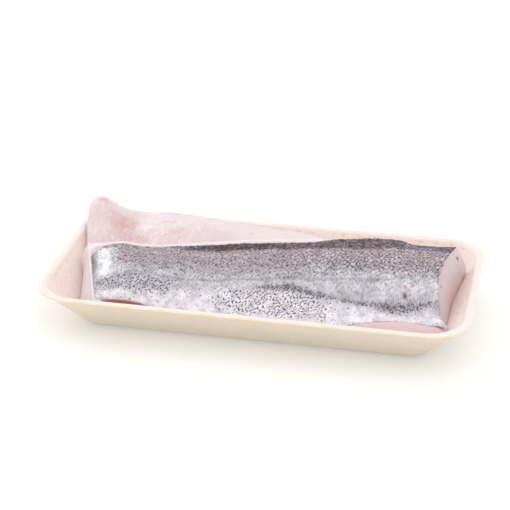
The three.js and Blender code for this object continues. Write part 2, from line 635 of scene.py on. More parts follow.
def start_group(
    name: str, inputs: dict[str, str], outputs: dict[str, str]
) -> tuple[Graph, Node, Node]:
    """Start a shader node group.

    Args:
        name: The group's name.
        inputs: Kinds of socket by input name.
        outputs: Kinds of socket by output name.

    Returns:
        Its graph, its input node and its output node.
    """
    tree = bpy.data.node_groups.new(name, "ShaderNodeTree")
    for kinds, way in ((inputs, "INPUT"), (outputs, "OUTPUT")):
        for socket, kind in kinds.items():
            tree.interface.new_socket(socket, in_out=way, socket_type=f"NodeSocket{kind}")
    graph = Graph(tree)
    return graph, graph.node("NodeGroupInput"), graph.node("NodeGroupOutput")


def start_material(name: str) -> tuple[bpy.types.Material, Graph, Node]:
    """Start a material.

    Args:
        name: The material's name.

    Returns:
        The material, its graph and its Principled shader.
    """
    material = bpy.data.materials.new(name)
    material.use_nodes = True
    return material, Graph(material.node_tree), material.node_tree.nodes["Principled BSDF"]


class Effects:
    """The node groups that several materials share."""

    CLOUDS: Speckle = Speckle(95.0, 0.36, 0.68, detail=3.0)
    SHADES: Speckle = Speckle(700.0, 0.3, 0.7, 0.98, 1.02)
    POOLS: Speckle = Speckle(260.0, 0.4, 0.62)
    RIPPLES: float = 380.0  # bumps to a metre

    def __init__(self) -> None:
        """Build each group once."""
        self.mottle = self._mottle()
        self.film = self._film()

    def _mottle(self) -> bpy.types.NodeTree:
        """Make the group that clouds a colour softly and adds a fine grain.

        Returns:
            The group.
        """
        graph, given, result = start_group(
            "mottle",
            {"Place": "Vector", "Colour": "Color", "Cloud": "Color", "Amount": "Float"},
            {"Colour": "Color"},
        )
        place = given.outputs["Place"]
        share = graph.product(graph.speckle(place, self.CLOUDS), given.outputs["Amount"])
        clouded = graph.mix(share, given.outputs["Colour"], given.outputs["Cloud"])
        shaded = graph.shade(clouded, graph.speckle(place, self.SHADES))
        graph.feed(result.inputs["Colour"], shaded)
        return graph.tree

    def _film(self) -> bpy.types.NodeTree:
        """Make the group for a film of water: where it pools, how rough and how rippled it is.

        Returns:
            The group.
        """
        graph, given, result = start_group(
            "water_film",
            {"Place": "Vector", "Dry": "Float", "Wet": "Float"},
            {"Roughness": "Float", "Pools": "Float", "Ripple": "Float"},
        )
        place = given.outputs["Place"]
        pools = graph.speckle(place, self.POOLS)
        span = graph.sum(Sum.SUBTRACT, given.outputs["Wet"], given.outputs["Dry"])
        roughness = graph.sum(Sum.ADD, given.outputs["Dry"], graph.product(pools, span))
        graph.feed(result.inputs["Roughness"], roughness)
        graph.feed(result.inputs["Pools"], pools)
        ripple = graph.grain(place, self.RIPPLES, detail=3.0, roughness=0.6)
        graph.feed(result.inputs["Ripple"], ripple)
        return graph.tree


@dataclass(frozen=True)
class Softness:
    """How light sinks into a stuff and comes out again."""

    share: float
    reach: float  # in millimetres
    tint: Colour = (1.0, 0.2, 0.1)

    def apply(self, shader: Node) -> None:
        """Make a material soft.

        Args:
            shader: The material's Principled shader.
        """
        shader.inputs["Subsurface Weight"].default_value = self.share
        shader.inputs["Subsurface Radius"].default_value = self.tint
        shader.inputs["Subsurface Scale"].default_value = self.reach * MM


@dataclass(frozen=True)
class Wetness:
    """A film of water: how rough it is dry and wet, and how it shines."""

    dry: float
    wet: float
    coat_roughness: float
    shine: float

    def apply(self, graph: Graph, shader: Node, effects: Effects) -> Socket:
        """Wet a material, most where its piece glints.

        Args:
            graph: The material's graph.
            shader: Its Principled shader.
            effects: The shared node groups.

        Returns:
            The height of the film's ripples.
        """
        film = graph.group(effects.film, Place=graph.place(), Dry=self.dry, Wet=self.wet)
        graph.feed(shader.inputs["Roughness"], film.outputs["Roughness"])
        coat = graph.product(film.outputs["Pools"], graph.mask("glint"))
        graph.feed(shader.inputs["Coat Weight"], coat)
        shader.inputs["Coat Roughness"].default_value = self.coat_roughness
        shader.inputs["Specular IOR Level"].default_value = self.shine
        return film.outputs["Ripple"]


@dataclass(frozen=True)
class FoamFinish:
    """Pressed starch foam: matt and warm white, with peach painted shade in its small dents,
    painted shade under its lip and, in part, on its outside.
    """

    inside: Colour = paint("e2d5d0")
    # partly painted shade: the outside is a yellower tint of the foam and is also darker, standing
    # in for shade on faces turned outward and down
    outside: Colour = paint("dacfc0")
    crest: Colour = paint("ded4d1")
    # painted shade: a darker, warm yellow line along the shaded underside of the rim's lip
    lip_shade: Colour = paint("dcc59c")
    # painted shade: the peach laid on the bottoms of the dents stands in for the shade in them
    dent_shade: Colour = paint("ead0b6")
    clouding: float = 0.2
    roughness: float = 0.6
    softness: Softness = Softness(0.85, 5.0, (1.0, 0.86, 0.76))
    # noise that breaks up the painted shade under the lip
    lip_shade_breaks: Speckle = Speckle(110.0, 0.35, 0.6)
    pores: float = 900.0  # bumps to a metre
    pore_depth: float = 0.06
    waves: float = 140.0  # bumps to a metre
    wave_depth: float = 0.3

    def material(self, effects: Effects) -> bpy.types.Material:
        """Make the foam's material.

        Args:
            effects: The shared node groups.

        Returns:
            The material.
        """
        material, graph, shader = start_material("starch_foam")
        place = graph.place()
        # foam turned outward or down takes the outside colour, which is partly painted shade
        wall = graph.mix(graph.mask("outer"), self.inside, self.outside)
        rim = graph.mix(graph.mask("crest"), wall, self.crest)
        cells = graph.group(
            effects.mottle, Place=place, Colour=rim, Cloud=self.outside, Amount=self.clouding
        )
        # painted shade along the underside of the lip, broken up by noise
        lip_shade = graph.product(graph.mask("lip_shade"), graph.speckle(place, self.lip_shade_breaks))
        edged = graph.mix(lip_shade, cells.outputs["Colour"], self.lip_shade)
        # painted shade: the bottoms of the dents take the peach dent colour
        graph.feed(shader.inputs["Base Color"], graph.mix(graph.mask("dent_shade"), edged, self.dent_shade))
        shader.inputs["Roughness"].default_value = self.roughness
        self.softness.apply(shader)
        pores = graph.grain(place, self.pores, detail=3.0, roughness=0.6)
        pitted = graph.bump(pores, self.pore_depth * MM)
        waved = graph.bump(graph.grain(place, self.waves), self.wave_depth * MM, pitted)
        graph.feed(shader.inputs["Normal"], waved)
        return material


@dataclass(frozen=True)
class FleshFinish:
    """Raw white fish: moist, a little see-through, with paler fibres running through it."""

    cloud: Colour = paint("d3bab9")
    # the pale fibres' colour, which the painted glint flecks also take
    fibre_and_glint: Colour = paint("efe7ea")
    clouding: float = 0.06
    softness: Softness = Softness(0.8, 5.0, (1.0, 0.55, 0.5))
    wetness: Wetness = Wetness(0.42, 0.37, 0.14, 0.25)
    strand_stretch: Point = (1.0, 0.28, 1.0)
    strands: float = 0.55
    # painted highlights: small flecks of wet glint
    glint_flecks: Speckle = Speckle(420.0, 0.63, 0.74, 0.0, 0.8, roughness=0.6)
    ripple_depth: float = 0.12
    fibre_depth: float = 0.3

    def material(self, name: str, effects: Effects) -> bpy.types.Material:
        """Make the flesh's material.

        Args:
            name: The material's name.
            effects: The shared node groups.

        Returns:
            The material.
        """
        material, graph, shader = start_material(name)
        place = graph.place()
        body = graph.group(
            effects.mottle, Place=place, Colour=graph.tone(), Cloud=self.cloud, Amount=self.clouding
        )
        drawn = graph.stretched(graph.map("fibres"), self.strand_stretch)
        strands = graph.grain(drawn, self.strands, detail=3.0, roughness=0.6)
        pale = graph.product(graph.ramp(strands, 0.52, 0.75), graph.mask("fibrous"))
        # painted highlights: flecks of wet glint, where the glint mask allows, lighten the flesh to
        # the fibre colour
        glint_flecks = graph.product(graph.speckle(place, self.glint_flecks), graph.mask("glint"))
        pale = graph.sum(Sum.MOST, pale, glint_flecks)
        graph.feed(shader.inputs["Base Color"], graph.mix(pale, body.outputs["Colour"], self.fibre_and_glint))
        self.softness.apply(shader)
        waves = graph.product(self.wetness.apply(graph, shader, effects), graph.mask("glint"))
        ripple = graph.bump(waves, self.ripple_depth * MM)
        ribs = graph.product(strands, graph.mask("fibrous"))
        graph.feed(shader.inputs["Normal"], graph.bump(ribs, self.fibre_depth * MM, ripple))
        return material


@dataclass(frozen=True)
class SkinFinish:
    """Wet fish skin: a net of dark scale edges and short dark dashes over a silvery ground."""

    ink: Colour = paint("3a3035")
    # painted highlights: the white of the glint flecks
    dash: Colour = paint("554d55")
    white: Colour = paint("efecf2")
    cool: Colour = paint("9591a6")
    scale_angle: float = 45.0
    streak_angle: float = 28.0
    streak_stretch: Point = (1.0, 0.42, 1.0)
    dash_angle: float = -40.0
    dash_stretch: Point = (0.58, 1.2, 1.0)
    bar_angle: float = 12.0
    bar_stretch: Point = (0.62, 0.22, 1.0)
    bars: Speckle = Speckle(1.0, 0.55, 0.64, 0.0, 0.75, detail=1.0)
    patches: Speckle = Speckle(0.12, 0.3, 0.7, 0.8, 1.12, detail=3.0, roughness=0.6)
    chill: Speckle = Speckle(0.2, 0.48, 0.68, 0.0, 0.3)
    # painted highlights: small white flecks of wet glint
    glint_flecks: Speckle = Speckle(2.4, 0.56, 0.66, detail=1.0, roughness=0.6)
    softness: Softness = Softness(0.1, 1.0)
    wetness: Wetness = Wetness(0.42, 0.26, 0.15, 0.06)
    ripple_depth: float = 0.3
    scale_depth: float = 0.2

    def _scales(self, graph: Graph) -> tuple[Socket, ...]:
        """Make the scales.

        Args:
            graph: The material's graph.

        Returns:
            Their dark edges, each scale's own chance from 0 to 1, and their domes.
        """
        flat = graph.map("scales")
        wobble = graph.node("ShaderNodeTexNoise", noise_dimensions="2D")
        graph.feed(wobble.inputs["Vector"], flat)
        wobble.inputs["Scale"].default_value = 0.8
        warped = graph.node("ShaderNodeVectorMath", operation="MULTIPLY_ADD")
        graph.feed(warped.inputs[0], wobble.outputs["Color"])
        warped.inputs[1].default_value = (0.8, 0.8, 0.0)
        graph.feed(warped.inputs[2], flat)
        lattice = graph.turned(warped.outputs[0], self.scale_angle, (1.0, 1.0, 1.0))
        rims, domes = (
            graph.node("ShaderNodeTexVoronoi", feature=kind, voronoi_dimensions="2D")
            for kind in ("DISTANCE_TO_EDGE", "F1")
        )
        for cells in (rims, domes):
            graph.feed(cells.inputs["Vector"], lattice)
            cells.inputs["Scale"].default_value = 1.0
            cells.inputs["Randomness"].default_value = 0.6
        chance = graph.node("ShaderNodeSeparateColor")
        graph.feed(chance.inputs[0], domes.outputs["Color"])
        edges = graph.ramp(rims.outputs["Distance"], 0.05, 0.22, start=1.0, end=0.0)
        height = graph.ramp(domes.outputs["Distance"], 0.0, 0.65, start=1.0, end=0.0)
        return edges, chance.outputs[0], height

    def _dashes(self, graph: Graph) -> Socket:
        """Make short dark dashes, as many as the piece's mask asks for.

        Args:
            graph: The material's graph.

        Returns:
            Where they are.
        """
        turned = graph.turned(graph.map("skin"), self.dash_angle, self.dash_stretch)
        blots = graph.grain(turned, 1.0, detail=0.0)
        spare = graph.product(graph.sum(Sum.SUBTRACT, 1.0, graph.mask("dashes")), 0.25)
        return graph.ramp(graph.sum(Sum.SUBTRACT, blots, spare), 0.545, 0.615, end=0.95)

    def _ground(self, graph: Graph, chance: Socket) -> Socket:
        """Make the silvery ground, each scale of which is a little lighter or darker, with painted
        white glints.

        Args:
            graph: The material's graph.
            chance: Each scale's own chance from 0 to 1.

        Returns:
            The ground's colour.
        """
        flat = graph.map("skin")
        ground = graph.shade(graph.tone(), graph.speckle(flat, self.patches))
        spread = graph.sum(Sum.ADD, 0.12, graph.product(graph.mask("ridge"), 0.9))
        spread = graph.sum(Sum.ADD, spread, graph.product(graph.mask("net"), 0.3))
        shift = graph.product(graph.sum(Sum.SUBTRACT, chance, 0.5), spread)
        ground = graph.shade(ground, graph.sum(Sum.ADD, 1.0, shift))
        ground = graph.mix(graph.speckle(flat, self.chill), ground, self.cool)
        # painted highlights: white flecks of wet glint, where the glint mask allows
        glint_flecks = graph.product(graph.speckle(flat, self.glint_flecks), graph.mask("glint"))
        return graph.mix(glint_flecks, ground, self.white)

    def material(self, name: str, effects: Effects) -> bpy.types.Material:
        """Make the skin's material.

        Args:
            name: The material's name.
            effects: The shared node groups.

        Returns:
            The material.
        """
        material, graph, shader = start_material(name)
        flat = graph.map("skin")
        edges, chance, domes = self._scales(graph)
        turned = graph.turned(flat, self.streak_angle, self.streak_stretch)
        streaks = graph.grain(turned, 0.85, roughness=0.6)
        broken = graph.ramp(streaks, 0.42, 0.58, start=0.15)
        strokes = graph.ramp(streaks, 0.53, 0.62)
        bars = graph.speckle(graph.turned(flat, self.bar_angle, self.bar_stretch), self.bars)
        colour = self._ground(graph, chance)
        for drawing, ink in (
            (graph.product(edges, graph.mask("net"), broken), self.ink),
            (graph.product(strokes, graph.mask("streaks")), self.ink),
            (graph.product(bars, graph.mask("bars")), self.ink),
            (self._dashes(graph), self.dash),
        ):
            colour = graph.mix(drawing, colour, ink)
        graph.feed(shader.inputs["Base Color"], colour)
        self.softness.apply(shader)
        ripple = graph.bump(self.wetness.apply(graph, shader, effects), self.ripple_depth * MM)
        graph.feed(shader.inputs["Normal"], graph.bump(domes, self.scale_depth * MM, ripple))
        return material


@dataclass(frozen=True)
class TableFinish:
    """The plain white table, which glows a little."""

    colour: Colour = (0.73, 0.73, 0.73)
    glow: Colour = (0.22, 0.21, 0.19)
    roughness: float = 0.7
    clouds: Speckle = Speckle(3.0, 0.2, 0.8, 0.985, 1.0)

    def material(self) -> bpy.types.Material:
        """Make the table's material, with the least unevenness.

        Returns:
            The material.
        """
        material, graph, shader = start_material("white_table")
        tone = graph.speckle(graph.place(), self.clouds)
        graph.feed(shader.inputs["Base Color"], graph.shade(self.colour, tone))
        graph.feed(shader.inputs["Emission Color"], self.glow)
        shader.inputs["Emission Strength"].default_value = 1.0
        shader.inputs["Roughness"].default_value = self.roughness
        return material


# The tray


@dataclass
class FoamTray:
    """A foamed sheet with a flat foot, leaning walls and a narrow turned-out rim."""

    length: float = 270.0
    width: float = 135.0
    height: float = 28.5
    foam: float = 3.0
    lip: float = 1.8
    rim_corner: float = 25.0
    floor_corner: float = 11.0
    end_flare: float = 1.22
    foot_inset: float = 27.0
    bend_inset: float = 17.5
    bend_height: float = 6.5
    flange: float = 4.2
    mesh_step: float = 0.92
    columns: int = 360
    sag: Relief = Relief(0.18, 45.0, patch=7.0)
    sway: Relief = Relief(0.25, 60.0, octaves=1, patch=3.0)
    dent_columns: int = 5
    dent_rows: int = 7
    pressed_rows: tuple[int, int] = (1, 2)
    rows_to_first_dent: int = 4
    rows_past_last_dent: int = 7
    missed_dent: int = 5
    dent_depth: float = 0.35
    dent_margin: float = 0.2
    # width of the painted shade along the underside of the lip
    lip_shade_width: float = 1.3

    def _corners(self) -> Numbers:
        """Set out the section: the foot, the outer wall, the lip, the inner wall and the floor.

        Returns:
            The corners as insets and heights, up the outside and down the inside.
        """
        top = self.height
        under = top - self.lip
        return np.array(
            [
                (self.foot_inset, 0.0),
                (self.foot_inset - 5.5, 1.3),
                (self.bend_inset, self.bend_height),
                (self.flange, top - 4.2),
                (self.flange - 1.0, under - 0.8),
                (0.6, under),
                (0.0, under + 0.6),
                (0.0, top - 0.5),
                (0.6, top),
                (self.flange - 0.6, top),
                (self.flange + 0.5, top - 0.6),
                (self.flange + 1.6, top - 2.2),
                (self.bend_inset + 2.6, self.bend_height + 2.4),
                (self.foot_inset - 3.0, self.foam + 0.8),
                (self.foot_inset + 1.5, self.foam),
            ]
        )

    def section(self) -> Numbers:
        """Round the section's corners off and step along it evenly.

        Returns:
            Insets, heights and shares of the outline, from the foot's middle to the floor's.
        """
        bend = self._corners()
        kept, rounds = 0.78, 3
        for _ in range(rounds):
            early = bend[:-1] * kept + bend[1:] * (1 - kept)
            late = bend[:-1] * (1 - kept) + bend[1:] * kept
            cut = np.stack([early, late], axis=1).reshape(-1, 2)
            bend = np.vstack([bend[:1], cut[1:-1], bend[-1:]])
        lengths = np.concatenate([[0.0], np.cumsum(np.linalg.norm(np.diff(bend, axis=0), axis=1))])
        even = np.linspace(0.0, lengths[-1], round(lengths[-1] / self.mesh_step))
        wall = np.stack([np.interp(even, lengths, bend[:, side]) for side in range(2)], axis=-1)
        rings = np.array([0.0, 0.4, 0.75, 0.93])
        foot = np.column_stack([np.tile(wall[0], (len(rings), 1)), rings])
        floor = np.column_stack([np.tile(wall[-1], (len(rings), 1)), rings[::-1]])
        return np.vstack([foot, np.column_stack([wall, np.ones(len(wall))]), floor])

    def _rectangle(self, inset: Numbers) -> tuple[Numbers, Numbers, Numbers]:
        """Find the tray's outline at an inset.

        Args:
            inset: How far in from the rim's outer edge.

        Returns:
            Half the length, half the width and the corner radius there.
        """
        depth = inset / self.foot_inset
        half_length = self.length / 2 - inset * (1 + (self.end_flare - 1) * depth)
        corner = self.rim_corner + (self.floor_corner - self.rim_corner) * np.minimum(depth, 1.0)
        return half_length, self.width / 2 - inset, corner

    def outline(self, turn: Numbers, inset: Numbers) -> tuple[Numbers, Numbers]:
        """Walk round the tray.

        Args:
            turn: Shares of the way round, counterclockwise from the middle of the right end.
            inset: How far in from the rim's outer edge.

        Returns:
            The places along and across the tray.
        """
        half_length, half_width, corner = self._rectangle(inset)
        end = self.width / 2 - self.rim_corner
        side = self.length / 2 - self.rim_corner
        arc = math.pi / 2 * self.rim_corner
        quarter = end + arc + side
        walked = (turn % 1.0) * 4 * quarter
        count = np.floor(walked / quarter).clip(0, 3)
        rest = walked - count * quarter
        rest = np.where(count % 2 == 1, quarter - rest, rest)
        on_end = np.clip(rest / end, 0.0, 1.0)
        angle = np.clip((rest - end) / arc, 0.0, 1.0) * math.pi / 2
        on_side = np.clip((rest - end - arc) / side, 0.0, 1.0)
        x = (half_length - corner) * (1 - on_side) + corner * np.cos(angle)
        y = (half_width - corner) * on_end + corner * np.sin(angle)
        right = np.where((count == 0) | (count == 3), 1.0, -1.0)
        far = np.where(count < 2, 1.0, -1.0)
        return x * right, y * far

    def reach(self, starts: Numbers, ends: Numbers, gap: float) -> Numbers:
        """Find how far one gets from a place to another before the tray's mouth is in the way.

        Args:
            starts: The places to start from, one row each.
            ends: The places to get to.
            gap: Distance kept to the mouth's edge.

        Returns:
            The shares of the way.
        """
        lean, halvings = 1.25, 16
        half_length, half_width, corner = self._rectangle(np.array(self.flange + 0.5 + lean * gap))
        straight = np.array([half_length - corner, half_width - corner])
        low, high = np.zeros(len(starts)), np.ones(len(starts))
        for _ in range(halvings):
            middle = (low + high) / 2
            places = starts + (ends - starts) * middle[:, None]
            past = np.maximum(np.abs(places[:, :2]) - straight, 0.0)
            inside = np.hypot(*past.T) <= corner
            low, high = np.where(inside, middle, low), np.where(inside, high, middle)
        return low

    def build(self) -> Piece:
        """Press the tray out of a sheet, with staggered dents all over its inner face.

        Returns:
            The tray.
        """
        rows = self.section()
        shape = bmesh.new()
        bmesh.ops.create_grid(shape, x_segments=self.columns, y_segments=len(rows) - 1, size=0.5)
        bmesh.ops.translate(shape, vec=(0.5, 0.5, 0.0), verts=shape.verts[:])
        dented = self._pick_dents(shape, rows)
        shares = read_points(shape)
        inset, height, reach = rows[np.rint(shares[:, 1] * (len(rows) - 1)).astype(int)].T
        x, y = self.outline(shares[:, 0], inset)
        places = np.column_stack([x * reach, y * reach, height])
        free = ease(3.0, 20.0, height)
        places[:, 2] += (self.sag.at(places) - self.sag.height / 2) * free
        places[:, 1] += self.sway.at(places) * free * ease(1.0, 3.0, inset)
        move_points(shape, places)
        bmesh.ops.remove_doubles(shape, verts=shape.verts[:], dist=0.001)
        bmesh.ops.recalc_face_normals(shape, faces=shape.faces[:])
        pressed = [face for face in dented if face.is_valid]
        bmesh.ops.inset_region(
            shape, faces=pressed, thickness=self.dent_margin, depth=-self.dent_depth
        )
        shape.verts.index_update()
        sunk = [vertex.index for face in pressed for vertex in face.verts]
        return Piece("foam_tray", "tray", "tray_foam", shape, masks=self._masks(shape, sunk))

    def _pick_dents(self, shape: Shape, rows: Numbers) -> list[bmesh.types.BMFace]:
        """Choose the faces that are pressed in, while the sheet is still flat.

        The dents stand in staggered rows, and about one in missed_dent is left out.

        Args:
            shape: The flat sheet.
            rows: The tray's section.

        Returns:
            The chosen faces.
        """
        crest = int(np.argmax(rows[:, 1])) + self.rows_to_first_dent
        floor = len(rows) - self.rows_past_last_dent
        picked = []
        for face in shape.faces:
            middle = face.calc_center_median()
            column = int(middle.x * self.columns)
            row = int(middle.y * (len(rows) - 1))
            rank, rest = divmod(row - crest, self.dent_rows)
            shift = (rank % 2) * (self.dent_columns // 2)
            missed = (3 * rank + 7 * (column // self.dent_columns)) % self.missed_dent == 0
            placed = rest in self.pressed_rows and (column + shift) % self.dent_columns == 0
            if crest <= row < floor and placed and not missed:
                picked.append(face)
        return picked

    def _masks(self, shape: Shape, sunk: Sequence[int]) -> dict[str, Numbers]:
        """Mark the outside, whose darker colour is partly painted shade, the rim's crest, the
        painted shade under its lip and the dents, which carry painted shade.

        Args:
            shape: The finished tray.
            sunk: Vertices at the bottom of the dents.

        Returns:
            The masks by name.
        """
        shape.normal_update()
        places = read_points(shape)
        facing = np.array([vertex.normal[:] for vertex in shape.verts])
        spine = np.clip(places[:, 0], -self.length / 4, self.length / 4)
        away = np.column_stack([places[:, 0] - spine, places[:, 1]])
        outward = (facing[:, :2] * away).sum(axis=1) / np.maximum(np.hypot(*away.T), 1.0)
        below = self.height - places[:, 2]
        # the bottoms of the dents, where peach painted shade is laid
        dent_shade = np.zeros(len(places))
        dent_shade[list(sunk)] = 1.0
        return {
            # foam turned outward or down, whose darker outside colour is partly painted shade
            "outer": np.clip(ease(-0.1, 0.3, outward) + ease(0.2, 0.6, -facing[:, 2]), 0.0, 1.0),
            "crest": (1 - ease(0.6, 2.6, below)) * ease(0.2, 0.8, facing[:, 2]),
            # painted shade along the underside of the lip
            "lip_shade": hump((self.lip - below) / self.lip_shade_width) * ease(0.0, 0.5, outward),
            "dent_shade": dent_shade,
        }


# The far fillet


@dataclass
class FarFillet:
    """The fillet that lies flesh up against the far wall, thick at the left, skin below."""

    tray: FoamTray
    back: Course = Course(
        (
            (-134.0, 63.0, 34.0), (-103.0, 66.0, 34.5), (-75.0, 66.0, 35.0), (-52.0, 66.0, 33.6),
            (-30.0, 65.0, 31.0), (-12.0, 64.5, 29.3), (10.0, 62.4, 28.2), (36.0, 57.6, 25.2),
            (70.0, 50.0, 17.5), (104.0, 41.0, 12.0),
        )
    )
    front: Course = Course(
        (
            (-115.0, -12.0, 14.0), (-95.0, -22.0, 12.0), (-50.0, -24.0, 11.0), (0.0, -20.0, 10.0),
            (50.0, -8.0, 9.0), (104.0, 18.0, 8.0),
        )
    )
    mounds: tuple[Mound, ...] = (
        Mound(-123.0, 47.0, 11.0, 15.0, 12.0),
        Mound(-112.0, 26.0, 14.0, 16.0, 5.0),
        Mound(-97.0, 40.0, 9.0, 15.0, -3.5),
        Mound(-55.0, 44.0, 34.0, 10.0, 1.5),
        Mound(0.0, 34.0, 30.0, 12.0, 2.0),
    )
    crown: float = 4.5
    rounding: float = 3.0
    wall_start: float = 55.0
    wall_end: float = 62.0
    end_share: float = 0.06
    end_slant: float = 0.3
    waves: Relief = Relief(0.5, 11.0, patch=1.0)
    flakes: Relief = Relief(0.16, 3.2, patch=5.0)
    rags: Relief = Relief(0.7, 5.0, octaves=3, patch=9.0)
    fibres: Relief = Relief(0.18, 2.0, patch=2.0)
    settling: float = 0.4
    skin: float = 1.0
    bare_edge: float = 2.5
    thinnest: float = 0.4
    end_room: float = 15.0
    skin_from_thickness: tuple[float, float] = (1.5, 3.5)
    skin_from_end: tuple[float, float] = (0.01, 0.04)
    skin_to_back: tuple[float, float] = (0.93, 0.97)
    fully: float = 0.98
    steps: tuple[int, int, int] = (270, 96, 10)
    scale_size: float = 1.9
    grey: Colour = paint("8f8a8c")
    pale_grey: Colour = paint("c0b6ba")
    pale: Colour = paint("dacdd0")
    edge: Colour = paint("dac9cb")
    # partly painted shade: the rosier flesh of the hollows, the low front and the sides
    rosy: Colour = paint("d6c1c0")
    stains: tuple[Stain, ...] = (
        Stain((-121.0, 47.0), (5.0, 4.0), 0.45, paint("cc9f98")),
        # rosier in the hollow beside the lump, partly painted shade
        Stain((-103.0, 35.0), (9.0, 13.0), 0.8, paint("c99e9a")),
        Stain((-92.0, 22.0), (9.0, 7.0), 0.7, paint("c6a3a5")),
        Stain((-112.0, 36.0), (4.0, 7.0), 0.4, paint("ceaeab")),
        Stain((-76.0, 42.0), (5.0, 1.8), 0.5, paint("d3b1a5")),
        Stain((-71.0, 43.0), (2.0, 1.2), 0.5, paint("cba18f")),
        Stain((-63.0, 34.0), (12.0, 5.0), 0.35, paint("d6bcb4")),
        Stain((-40.0, 40.0), (14.0, 5.0), 0.3, paint("d8c0b9")),
        # painted reflection: a pale lavender streak of reflected light
        Stain((-90.0, 57.0), (9.0, 4.0), 0.7, paint("dfd9e2")),
        Stain((-18.2, 43.9), (0.7, 0.7), 0.9, paint("6d5a5c")),
    )

    def _gap(self) -> float:
        """Return the room between the flesh and the tray, which the skin lies in."""
        return GAP + self.skin + GAP

    def top(self, along: Numbers, across: Numbers) -> Numbers:
        """Find places on the fillet's upper face.

        Args:
            along: Shares of the way from its thick end to its thin one.
            across: Shares of the way from its front edge to the far wall.

        Returns:
            The places, one row each.
        """
        front, back = self.front.at(along), self.back.at(along)
        share = across * self.tray.reach(front, back, GAP)
        places = front + (back - front) * share[:, None]
        x, y = places[:, 0], places[:, 1]
        slope = (back[:, 2] - front[:, 2]) * share**0.8
        z = front[:, 2] + slope + self.crown * np.sin(np.pi * share)
        for mound in self.mounds:
            z = z + mound.at(x, y)
        near_edge = 1 - ease(0.0, 0.08, np.minimum(share, 1 - share))
        near_wall = ease(self.wall_start, self.wall_end, y) ** 2
        places[:, 2] = z - self.rounding * np.maximum(near_edge, near_wall)
        return places

    def _relief(self, places: Numbers) -> Numbers:
        """Find the fine rises of the flesh: broad softness, torn flakes and short fibres.

        Args:
            places: Places on the upper face.

        Returns:
            The height of the rise at each.
        """
        x, y = places[:, 0], places[:, 1]
        flakes = np.column_stack([x * 0.8 + y * 0.45, y * 0.55 - x * 0.1])
        torn = ease(-118.0, -104.0, x) * (1 - ease(-66.0, -48.0, x)) * (1 - ease(34.0, 48.0, y))
        fibres = np.column_stack([x, y * 0.2])
        on_lump = 1 - ease(-108.0, -98.0, x)
        soft = self.waves.at(places) + self.flakes.at(flakes) - self.settling
        return soft + torn * np.abs(self.rags.at(flakes)) + on_lump * self.fibres.at(fibres)

    def _backing(self, tray: BVHTree, top: Numbers, along: Numbers, across: Numbers) -> Numbers:
        """Find where the flesh lies on its skin, and where it is too thin and lies on the tray.

        Args:
            tray: The tray.
            top: Places on the upper face.
            along: Shares of the way from its thick end to its thin one.
            across: Shares of the way from its front edge to the far wall.

        Returns:
            How far the skin backs it, from 0 to 1.
        """
        thickness = top[:, 2] - resting_height([(tray, 0.0)], top[:, 0], top[:, 1])
        backed = ease(*self.skin_from_end, along) * ease(*self.skin_from_thickness, thickness)
        return backed * (1 - ease(*self.skin_to_back, across))

    def build(self, tray: BVHTree) -> tuple[Piece, Piece]:
        """Make the fillet's flesh and the skin under it.

        Args:
            tray: The tray, which shapes the underside.

        Returns:
            The flesh and the skin.
        """
        shape = fine_box(*self.steps)
        along, across, through = read_points(shape).T
        top = self.top(along, across)
        top[:, 2] += self._relief(top)
        backed = self._backing(tray, top, along, across)
        to_end = np.minimum(along, 1 - along)
        ends = np.where(along < 0.5, -1.0, 1.0) * hump(to_end / self.end_share)
        past_end = top + np.outer(ends, (self.end_room, 0.0, 0.0))
        room = self.end_room * self.tray.reach(top, past_end, -PRESS)
        depth = np.full(len(top), self.bare_edge)
        for _ in range(SETTLINGS):
            slant = np.clip(ends * self.end_slant * depth, -room, room)
            spot = (top[:, 0] + slant, top[:, 1])
            bare, skinned = (resting_height([(tray, gap)], *spot) for gap in (-PRESS, self._gap()))
            depth = np.maximum(top[:, 2] - bare - (skinned - bare) * backed, self.thinnest)
        rank = (1 - through) * self.steps[2]
        first = np.minimum(self.bare_edge, depth / 2)
        below = (depth - first) * (rank - 1) / (self.steps[2] - 1)
        sunk = np.where(rank <= 1, rank * first, first + below)
        slant = np.clip(ends * self.end_slant * sunk, -room, room)
        places = np.column_stack([top[:, 0] + slant, top[:, 1], top[:, 2] - sunk])
        move_points(shape, places)
        short = along < 1 - 0.5 / self.steps[0]
        skin = self._skin(shape, (through == 0) & short & (backed > self.fully))
        flesh = Piece("far_flesh", "far_fillet_flesh", "far_flesh", shape)
        flesh.tones = self._tones(places, sunk)
        flesh.masks = self._masks(places)
        flesh.maps = {"fibres": np.column_stack([places[:, 0], places[:, 1] + places[:, 2]])}
        return flesh, skin

    def _masks(self, places: Numbers) -> dict[str, Numbers]:
        """Say where the fibres and the glints show, most of all where the flesh is torn.

        Args:
            places: The flesh's vertices.

        Returns:
            The masks by name.
        """
        x, y, _ = places.T
        torn = ease(-125.0, -104.0, x) * (1 - ease(-60.0, -30.0, x)) * (1 - ease(40.0, 52.0, y))
        on_lump = 1 - ease(-112.0, -100.0, x)
        return {"fibrous": 0.15 + 0.3 * on_lump + 0.4 * torn, "glint": 0.05 + 0.75 * torn}

